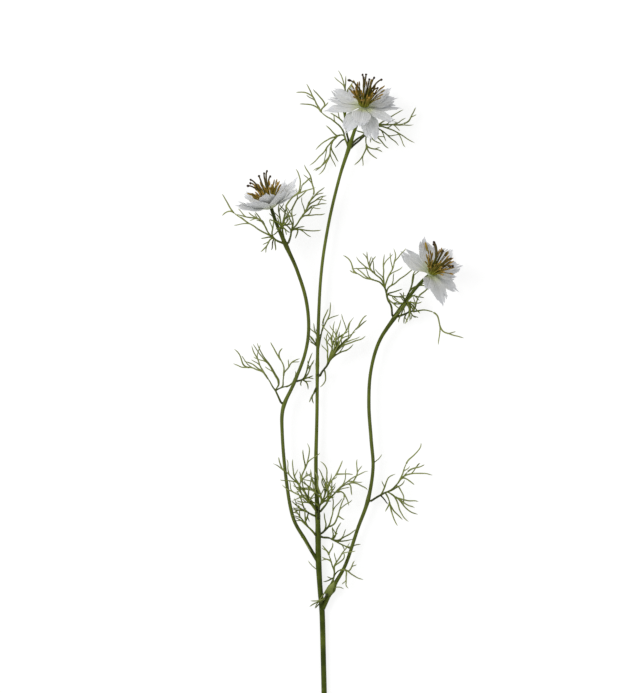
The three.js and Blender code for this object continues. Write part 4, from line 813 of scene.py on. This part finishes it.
def petal_surface(bloom, petal, s, t):
    """A point of a petal's middle surface, s along it from 0 to 1 and t across it from -1 to 1."""
    angle, length, width, rise, curl, phase, twist, layer = petal
    climb = math.radians(rise + curl * s / 2)
    half = 0.5 * width * petal_outline(s) + PETAL_CLAW
    waving = PETAL_WAVE["height"] * math.sin(phase + PETAL_WAVE["turns"] * s)
    wave = t * t * (waving + PETAL_WAVE["cup"] * half) * s
    crease = CREASES["depth"] * math.cos(CREASES["count"] * math.pi * t)
    crease *= smooth_step(s, 0.0, CREASES["full"]) * (CREASES["gone"] - s)
    keel = -KEEL["depth"] * math.exp(-(KEEL["narrowness"] * t) ** 2)
    keel *= smooth_step(s, 0.0, KEEL["full"]) * (1 - KEEL["fade"] * s)
    swing = math.sin(phase * 3 + PETAL_RIPPLE["along"] * s + PETAL_RIPPLE["across"] * t)
    ripple = PETAL_RIPPLE["height"] * s * abs(t) * swing
    lift = wave + crease + keel + ripple * smooth_step(s, PETAL_RIPPLE["from"], PETAL_RIPPLE["full"])
    out = PETAL_ROOT + length * s * math.cos(climb) - lift * math.sin(climb)
    roll = math.radians(twist * s)
    along = PETAL_LAYER * layer + length * s * math.sin(climb) + lift * math.cos(climb)
    turn = math.radians(angle)
    across = half * t * math.cos(roll)
    point = bloom.point(turn, out, along + half * t * math.sin(roll))
    point -= bloom.side * across * math.sin(turn)
    point += bloom.front * across * math.cos(turn)
    point.z = rest_on_floor(point.z, PETAL_LOWEST)
    return point


def petal_normal(bloom, petal, s, t):
    """The direction that stands off a petal's surface."""
    nudge = 0.01
    ahead = petal_surface(bloom, petal, s + nudge, t) - petal_surface(bloom, petal, max(s - nudge, 0), t)
    beside = petal_surface(bloom, petal, s, t + nudge) - petal_surface(bloom, petal, s, t - nudge)
    return ahead.cross(beside).normalized()


def petal_place(row, column, phase):
    """Where a mesh row and column lie on the petal. Pointed lobes and frayed sides end it raggedly.

    Each wave takes its own multiple of the petal's phase, so that the petals differ.
    """
    t = 2 * column / PETAL_COLUMNS - 1
    s = row / PETAL_ROWS
    lobes = LOBE_COUNTS[int(phase * 10) % len(LOBE_COUNTS)]
    notch = 1 - abs(math.sin(math.pi * lobes * (t + 1) / 2)) ** LOBE_ROUNDNESS
    across = LOBE_SPREAD["more"] * math.sin(phase * 9 + LOBE_SPREAD["turns"] * t)
    depth = LOBE_DEPTH * (LOBE_SPREAD["least"] + across)
    uneven = END_WAVES["long"] * math.sin(phase * 7 + END_WAVES["long_turns"] * t)
    uneven += END_WAVES["short"] * math.sin(phase * 5 + END_WAVES["short_turns"] * t)
    rounded = END_ROUNDING * abs(t) ** END_SQUARENESS
    reach = 1 - rounded - depth * notch * (1 - t * t) + uneven * (1 - abs(t))
    coarse = FRAY["coarse"] * math.sin(FRAY["coarse_turns"] * s + phase * 9)
    fine = FRAY["fine"] * math.sin(FRAY["fine_turns"] * s)
    fray = (coarse + fine) * smooth_step(s, FRAY["from"], FRAY["full"])
    return s * mix(1.0, reach, smooth_step(s, LOBE_START, 1.0)), t * (1 - abs(fray) * abs(t))


def add_petal(shape, bloom, petal):
    """Adds a petal with an upper and a lower face, joined round its rim."""
    phase = petal[5]
    columns = PETAL_COLUMNS + 1
    rows = PETAL_ROWS + 1
    sheet = rows * columns
    upper = []
    lower = []
    tones = []
    across = []
    for row in range(rows):
        for column in range(columns):
            s, t = petal_place(row, column, phase)
            point = petal_surface(bloom, petal, s, t)
            half = PETAL_THICKNESS / 2 * (1 - PETAL_EDGE * max(abs(t), s) ** 4)
            offset = petal_normal(bloom, petal, s, t) * half
            upper.append(point + offset)
            lower.append(point - offset)
            tones.append(s)
            across.append(t)
    faces = []
    for row in range(PETAL_ROWS):
        for column in range(PETAL_COLUMNS):
            a = row * columns + column
            c = a + columns
            faces.append((a, c, c + 1, a + 1))
            faces.append((a + sheet, a + 1 + sheet, c + 1 + sheet, c + sheet))
    rim = [*range(columns)]
    rim += [row * columns + columns - 1 for row in range(1, rows)]
    rim += [PETAL_ROWS * columns + column for column in range(columns - 2, -1, -1)]
    rim += [row * columns for row in range(PETAL_ROWS - 1, 0, -1)]
    for a, b in zip(rim, rim[1:] + rim[:1]):
        faces.append((a, b, b + sheet, a + sheet))
    shape.add(upper + lower, faces, tones * 2, across * 2)


def petals(bloom, material):
    """A bloom's petals, on a disc."""
    shape = Shape()
    turned(shape, bloom, DISC, DISC_SIDES, (0.0, 0.0))
    for petal in bloom.petals:
        add_petal(shape, bloom, petal)
    name = bloom.data["name"]
    made = shape.piece("petal_ring_" + name, material)
    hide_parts("petals_" + name)


def arc(a, b, c, steps):
    """Points on the curve that leaves a towards b and ends at c."""
    return [a.lerp(b, t).lerp(b.lerp(c, t), t) for t in shares(steps)]


def add_anther(shape, middle, along, size, radius, shade):
    """A plump, grooved anther that lies along a direction."""
    places = shares(ANTHER_STEPS)
    spine = [middle + along * size * (place - 0.5) for place in places]
    outline = [math.sin(math.pi * mix(*ANTHER_SPAN, place)) ** ANTHER_BLUNTNESS for place in places]
    girth = [radius * share for share in outline]
    tones = [mix(shade, place, ANTHER_RISE) for place in places]
    tube(shape, spine, girth, tones, ANTHER_SIDES, anther_relief)


def anther_relief(angle, place):
    """Two lobes with a groove between them, a little slimmer towards the end."""
    return 1 - ANTHER_GROOVE + ANTHER_GROOVE * abs(math.cos(angle)) - ANTHER_TAPER * place


def stamens(bloom, filament_material, anther_material):
    """A collar with slender stalks round it, each with a plump, grooved anther."""
    stalks = Shape()
    anthers = Shape()
    turned(stalks, bloom, COLLAR, COLLAR_SIDES, COLLAR_TONES, COLLAR_LOBES, COLLAR_DEPTH)
    draw = seeded_draws(bloom.data["seed"])
    out, foot, rooted = (STAMEN[key] for key in ("out", "foot", "rooted"))
    places = shares(STAMEN_STEPS)
    for k in range(STAMENS):
        angle = 2 * math.pi * (k + STAMEN["unevenness"] * draw()) / STAMENS
        lean = math.radians(STAMEN["lean"] + STAMEN["lean_spread"] * draw())
        length = STAMEN["length"] + STAMEN["length_spread"] * draw()
        swing = STAMEN["swing"] * (draw() - 0.5)
        root = bloom.point(angle, out, rooted)
        knee_out = out + length * STAMEN["knee"] * math.sin(lean * 0.5)
        knee = bloom.point(angle + swing, knee_out, length * STAMEN["knee_height"])
        tip_out = out + length * math.sin(lean)
        tip = bloom.point(angle + swing, tip_out, foot + length * math.cos(lean))
        path = arc(root, knee, tip, STAMEN_STEPS)
        tube(stalks, path, [mix(*STALK_WIDTHS, place) for place in places], places, STALK_SIDES)
        along = (path[-1] - path[-2]).normalized()
        add_anther(anthers, tip, along, ANTHER_LENGTH + draw(), ANTHER_RADIUS, draw())
    name = bloom.data["name"]
    made = stalks.piece("stamen_stalks_" + name, filament_material)
    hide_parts("stamens_" + name)
    anthers.piece("anthers_" + name, anther_material)


def fallen_anther(bloom, petal, s, t, material):
    """One anther that lies on a petal, pressed a little into it."""
    reach = 0.05
    ahead = petal_surface(bloom, petal, s + reach, t) - petal_surface(bloom, petal, s - reach, t)
    normal = petal_normal(bloom, petal, s, t)
    upward = normal if normal.z > 0 else -normal
    middle = petal_surface(bloom, petal, s, t) + upward * FALLEN_RADIUS
    shape = Shape()
    add_anther(shape, middle, ahead.normalized(), FALLEN_LENGTH, FALLEN_RADIUS, FALLEN_TONE)
    shape.piece("fallen_anther", material)


def pistil(bloom, ovary_material, tip_material):
    """A lobed ovary whose styles swing out and end in knobs."""
    ovary = Shape()
    knobs = Shape()
    radius, foot, top, narrowing = (OVARY[key] for key in ("radius", "foot", "top", "narrowing"))
    profile = []
    for t in shares(OVARY["rings"]):
        swell = math.sin(math.pi * mix(*OVARY_SPAN, t)) ** OVARY["bluntness"]
        profile.append((radius * swell * (1 - narrowing * t), mix(foot, top, t)))
    turned(ovary, bloom, profile, OVARY["sides"], (0.0, OVARY_TONE), OVARY["lobes"], OVARY["depth"])
    reach = STYLE["reach"]
    places = shares(STYLE_STEPS)
    steps = shares(KNOB_STEPS)
    for angle, height, swing in bloom.data["styles"]:
        turn = math.radians(angle)
        root = bloom.point(turn, STYLE["root"], top - STYLE["sunk"])
        low = bloom.point(turn, reach, height * STYLE["low"])
        high = bloom.point(turn, reach + swing * STYLE["swing"], height * STYLE["high"])
        tip = bloom.point(turn, reach + swing, height)
        curve = (root, low, high, tip)
        path = [on_curve(curve, t) for t in places]
        tones = [mix(STYLE_TONE, 1, t) for t in places]
        tube(ovary, path, [mix(*STYLE_RADII, t) for t in places], tones, STYLE_SIDES)
        end = [on_curve(curve, mix(*KNOB_SPAN, step)) for step in steps]
        bulge = [STYLE_RADII[1] + KNOB_SWELL * math.sin(math.pi * step) ** KNOB_BLUNTNESS for step in steps]
        bulge[-1] = KNOB_END
        tube(knobs, end, bulge, steps, KNOB_SIDES)
    name = bloom.data["name"]
    made = ovary.piece("ovary_" + name, ovary_material)
    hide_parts("pistil_" + name)
    knobs.piece("style_tips_" + name, tip_material)


# Materials

def linear(*colour):
    """A screen colour, 0 to 255, as the light it stands for, by the standard curve of screens."""
    levels = [value / 255 for value in colour]
    light = [level / 12.92 if level <= 0.04045 else ((level + 0.055) / 1.055) ** 2.4 for level in levels]
    return *light, 1.0


class Surface:
    """A material with its shader, its place in the object and helpers that add nodes."""

    def __init__(self, name, gloss=0.3):
        self.material = bpy.data.materials.new(name)
        self.material.use_nodes = True
        self.tree = self.material.node_tree
        self.shader = self.tree.nodes["Principled BSDF"]
        self.feed(self.shader, {"Specular IOR Level": gloss})
        self.place = self.node("TexCoord", {}).outputs["Object"]

    def feed(self, node, inputs):
        """Sets a node's inputs, each to a value or to what another node gives."""
        for name, value in inputs.items():
            if isinstance(value, bpy.types.NodeSocket):
                self.tree.links.new(value, node.inputs[name])
            else:
                node.inputs[name].default_value = value

    def node(self, kind, inputs):
        made = self.tree.nodes.new("ShaderNode" + kind)
        self.feed(made, inputs)
        return made

    def value(self, name):
        """One of the two values that each corner carries."""
        attribute = self.node("Attribute", {})
        attribute.attribute_name = name
        return attribute.outputs["Fac"]

    def calculated(self, operation, first, second):
        node = self.node("Math", {0: first, 1: second})
        node.operation = operation
        return node.outputs["Value"]

    def noise(self, lumps, detail=4.0, stretch=(1, 1, 1)):
        """A noise with so many lumps per metre, drawn out where stretch is below 1."""
        mapping = self.node("Mapping", {"Vector": self.place, "Scale": stretch})
        vector = mapping.outputs["Vector"]
        return self.node("TexNoise", {"Vector": vector, "Scale": lumps, "Detail": detail}).outputs["Fac"]

    def scaled(self, source, low, high):
        """A value spread from low to high."""
        return self.node("MapRange", {"Value": source, "To Min": low, "To Max": high}).outputs["Result"]

    def ramp(self, source, stops):
        """A colour for each place of the source, from stops: a place and a screen colour, 0 to 255."""
        node = self.node("ValToRGB", {"Fac": source})
        elements = node.color_ramp.elements
        while len(elements) < len(stops):
            elements.new(0.5)
        for element, (place, colour) in zip(elements, stops):
            element.position = place
            element.color = linear(*colour)
        return node.outputs["Color"]

    def mixed(self, share, source, colour):
        """The source's colour, with a share of another over it."""
        node = self.node("Mix", {"Factor": share})
        node.data_type = "RGBA"
        first, second = (socket for socket in node.inputs if socket.type == "RGBA")
        self.tree.links.new(source, first)
        second.default_value = linear(*colour)
        return next(socket for socket in node.outputs if socket.type == "RGBA")

    def layered(self, stops, layers):
        """Colours along the tone, and over them the layers: a noise, its least and most share, a colour."""
        shown = self.ramp(self.value("tone"), stops)
        for source, least, most, colour in layers:
            shown = self.mixed(self.scaled(source, least, most), shown, colour)
        return shown

    def finished(self, colour, rough, relief):
        """The material. rough: a noise, least and most roughness. relief: a noise and a height in metres."""
        bump = self.node("Bump", {"Strength": 1.0, "Height": relief[0], "Distance": relief[1]})
        self.feed(self.shader, {
            "Base Color": colour, "Roughness": self.scaled(*rough), "Normal": bump.outputs["Normal"]})
        return self.material


def stem_material(name, *colours):
    """A stem's green, from its foot to its bloom, with fine streaks along it and paler patches."""
    surface = Surface(name, 0.1)
    streaks = surface.noise(900, 6.0, (1, 0.06, 1))
    patches = surface.noise(120, 3.0)
    layers = [(streaks, -0.3, 0.9, (44, 54, 10)), (patches, -0.35, 0.6, (120, 134, 46))]
    colour = surface.layered(list(zip(shares(len(colours) - 1), colours)), layers)
    return surface.finished(colour, (streaks, 0.42, 0.66), (streaks, 0.00012))


def cut_material():
    """Pale, with a greener rim and fine fibres."""
    surface = Surface("cut_stem")
    fibres = surface.noise(3500, 5.0)
    rings = [(0.15, (214, 214, 176)), (0.6, (180, 188, 120)), (0.95, (96, 112, 46))]
    colour = surface.layered(rings, [(fibres, 0.0, 0.6, (140, 146, 92))])
    return surface.finished(colour, (fibres, 0.65, 0.9), (fibres, 0.0001))


def thread_material(name, root, middle, tip):
    """Dark at the stalk and paler out to the tips, with uneven patches."""
    surface = Surface(name, 0.15)
    patches = surface.noise(260)
    grain = surface.noise(2200)
    layers = [(patches, -0.6, 0.8, (52, 60, 28)), (grain, -0.5, 0.7, (150, 158, 76))]
    colour = surface.layered([(0.0, root), (0.3, middle), (1.0, tip)], layers)
    return surface.finished(colour, (grain, 0.45, 0.7), (grain, 0.00006))


def petal_material():
    """White from a yellow-green foot, with mottling and faint veins along the petal."""
    surface = Surface("petal_white")
    mottle = surface.noise(230, 5.0)
    wander = surface.calculated("MULTIPLY", mottle, VEIN_WANDER)
    spread = surface.calculated("MULTIPLY", surface.value("across"), VEIN_TURNS)
    veins = surface.calculated("SINE", surface.calculated("ADD", spread, wander), 0.0)
    fine = surface.calculated("MULTIPLY", surface.calculated("MAXIMUM", veins, 0.0), VEIN_SHADE)
    stops = [(0.0, (150, 160, 66)), (0.13, (196, 202, 150)), (0.3, (222, 223, 216)), (1.0, (228, 228, 232))]
    shaded = surface.layered(stops, [(mottle, -0.25, 0.85, (196, 200, 208))])
    surface.feed(surface.shader, {
        "Subsurface Weight": 0.12, "Subsurface Scale": 0.002, "Subsurface Radius": (1.0, 1.0, 1.0)})
    colour = surface.mixed(fine, shaded, (168, 172, 160))
    return surface.finished(colour, (mottle, 0.5, 0.75), (surface.noise(1500, 5.0), 0.00005))


def organ_material(name, stops, shade, lumps, height):
    """Stamens and pistil: a colour along each part, dulled in patches, with a fine grain."""
    surface = Surface(name)
    grain = surface.noise(lumps)
    colour = surface.layered(stops, [(surface.noise(600, 3.0), -0.3, 1.0, shade)])
    return surface.finished(colour, (grain, 0.45, 0.8), (grain, height))


def floor_material():
    """Pale and dull, with light of its own."""
    surface = Surface("pale_floor", 0.0)
    speckle = surface.ramp(surface.noise(40, 3.0), [(0.3, (142, 142, 142)), (0.7, (145, 145, 145))])
    surface.feed(surface.shader, {
        "Base Color": speckle, "Roughness": 0.9,
        "Emission Color": (1, 1, 1, 1), "Emission Strength": FLOOR_GLOW})
    return surface.material


# Studio

def floor():
    """The square pale surface that the spray lies on."""
    mesh = bpy.data.meshes.new("studio_floor")
    corners = [(x * FLOOR_HALF, y * FLOOR_HALF, 0) for x, y in ((-1, -1), (1, -1), (1, 1), (-1, 1))]
    mesh.from_pydata(corners, [], [(0, 1, 2, 3)])
    mesh.materials.append(floor_material())
    made = new_object("studio_floor", mesh)


def lights():
    """Round lamps that shine on the middle of the floor, and a soft light from all round."""
    for name, (place, width, power) in LIGHTS.items():
        lamp = bpy.data.lights.new(name, "AREA")
        lamp.shape = "DISK"
        lamp.size = width
        lamp.energy = power
        made = new_object(name, lamp)
        made.location = place
        made.rotation_euler = (-Vector(place)).to_track_quat("-Z", "Y").to_euler()
    world = bpy.data.worlds.new("soft_room")
    world.use_nodes = True
    background = world.node_tree.nodes["Background"]
    background.inputs["Color"].default_value = (1, 1, 1, 1)
    background.inputs["Strength"].default_value = ROOM_LIGHT
    bpy.context.scene.world = world
    view = bpy.context.scene.view_settings
    view.view_transform = "Standard"
    view.look = "None"


def camera():
    """Straight above the spray, as the photograph looks at it."""
    view = bpy.data.cameras.new("camera")
    view.sensor_fit = "VERTICAL"
    view.sensor_height = CAMERA_SENSOR
    view.lens = CAMERA_LENS
    view.clip_start = 0.1
    view.clip_end = 20
    made = new_object("camera", view)
    made.location = Vector(CAMERA_PLACE) * MM
    bpy.context.scene.camera = made


# The spray

STEM_MIDDLES = [point for rows in STEMS.values() for point in stem_path(rows)[0]]
GREENS = {  # screen colours, 0 to 255, from a stem's foot to its bloom
    "stem_main": ((46, 58, 8), (60, 74, 12), (98, 108, 40), (108, 118, 52), (96, 108, 34)),
    "stem_left": ((56, 68, 14), (96, 106, 48), (98, 108, 48), (92, 100, 38), (48, 58, 12)),
    "stem_right": ((78, 90, 24), (88, 98, 38), (92, 102, 46), (84, 94, 30), (56, 68, 14)),
}
for name, rows in STEMS.items():
    stem(name, rows, stem_material(name + "_green", *GREENS[name]))
cut_end(STEMS["stem_main"], cut_material())

bract_green = thread_material("bract_green", (18, 26, 8), (90, 102, 26), (150, 156, 96))
leaf_green = thread_material("leaf_green", (18, 26, 8), (94, 106, 28), (148, 156, 96))
sheath_green = thread_material("sheath_green", (60, 74, 22), (96, 108, 42), (150, 160, 96))
for frond in FRONDS:
    made = frond_piece(frond, bract_green if frond.name.startswith("bract") else leaf_green)
    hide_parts(frond.name)
for frond in FINE_FRONDS:
    frond_piece(frond, leaf_green)
stray_threads(leaf_green)
sheath(sheath_green)

white = petal_material()
filament = organ_material(
    "filament", [(0.0, (126, 138, 24)), (0.5, (150, 138, 40)), (1.0, (142, 108, 40))],
    (100, 88, 20), 2500, 0.00004)
anther = organ_material(
    "anther", [(0.0, (96, 60, 16)), (0.35, (140, 124, 30)), (0.7, (184, 146, 50)), (1.0, (196, 160, 72))],
    (92, 66, 18), 3200, 0.0001)
ovary = organ_material(
    "ovary", [(0.0, (62, 64, 10)), (0.3, (126, 132, 36)), (0.6, (96, 84, 28)), (1.0, (82, 62, 28))],
    (66, 58, 14), 1800, 0.0001)
style_tip = organ_material(
    "style_tip", [(0.0, (78, 58, 28)), (1.0, (40, 28, 18))], (54, 40, 22), 2600, 0.00008)
for data in BLOOMS:
    bloom = Bloom(data)
    petals(bloom, white)
    stamens(bloom, filament, anther)
    pistil(bloom, ovary, style_tip)
    if data["name"] == "right":
        fallen_anther(bloom, bloom.petals[1], *FALLEN_PLACE, anther)

floor()
lights()
camera()
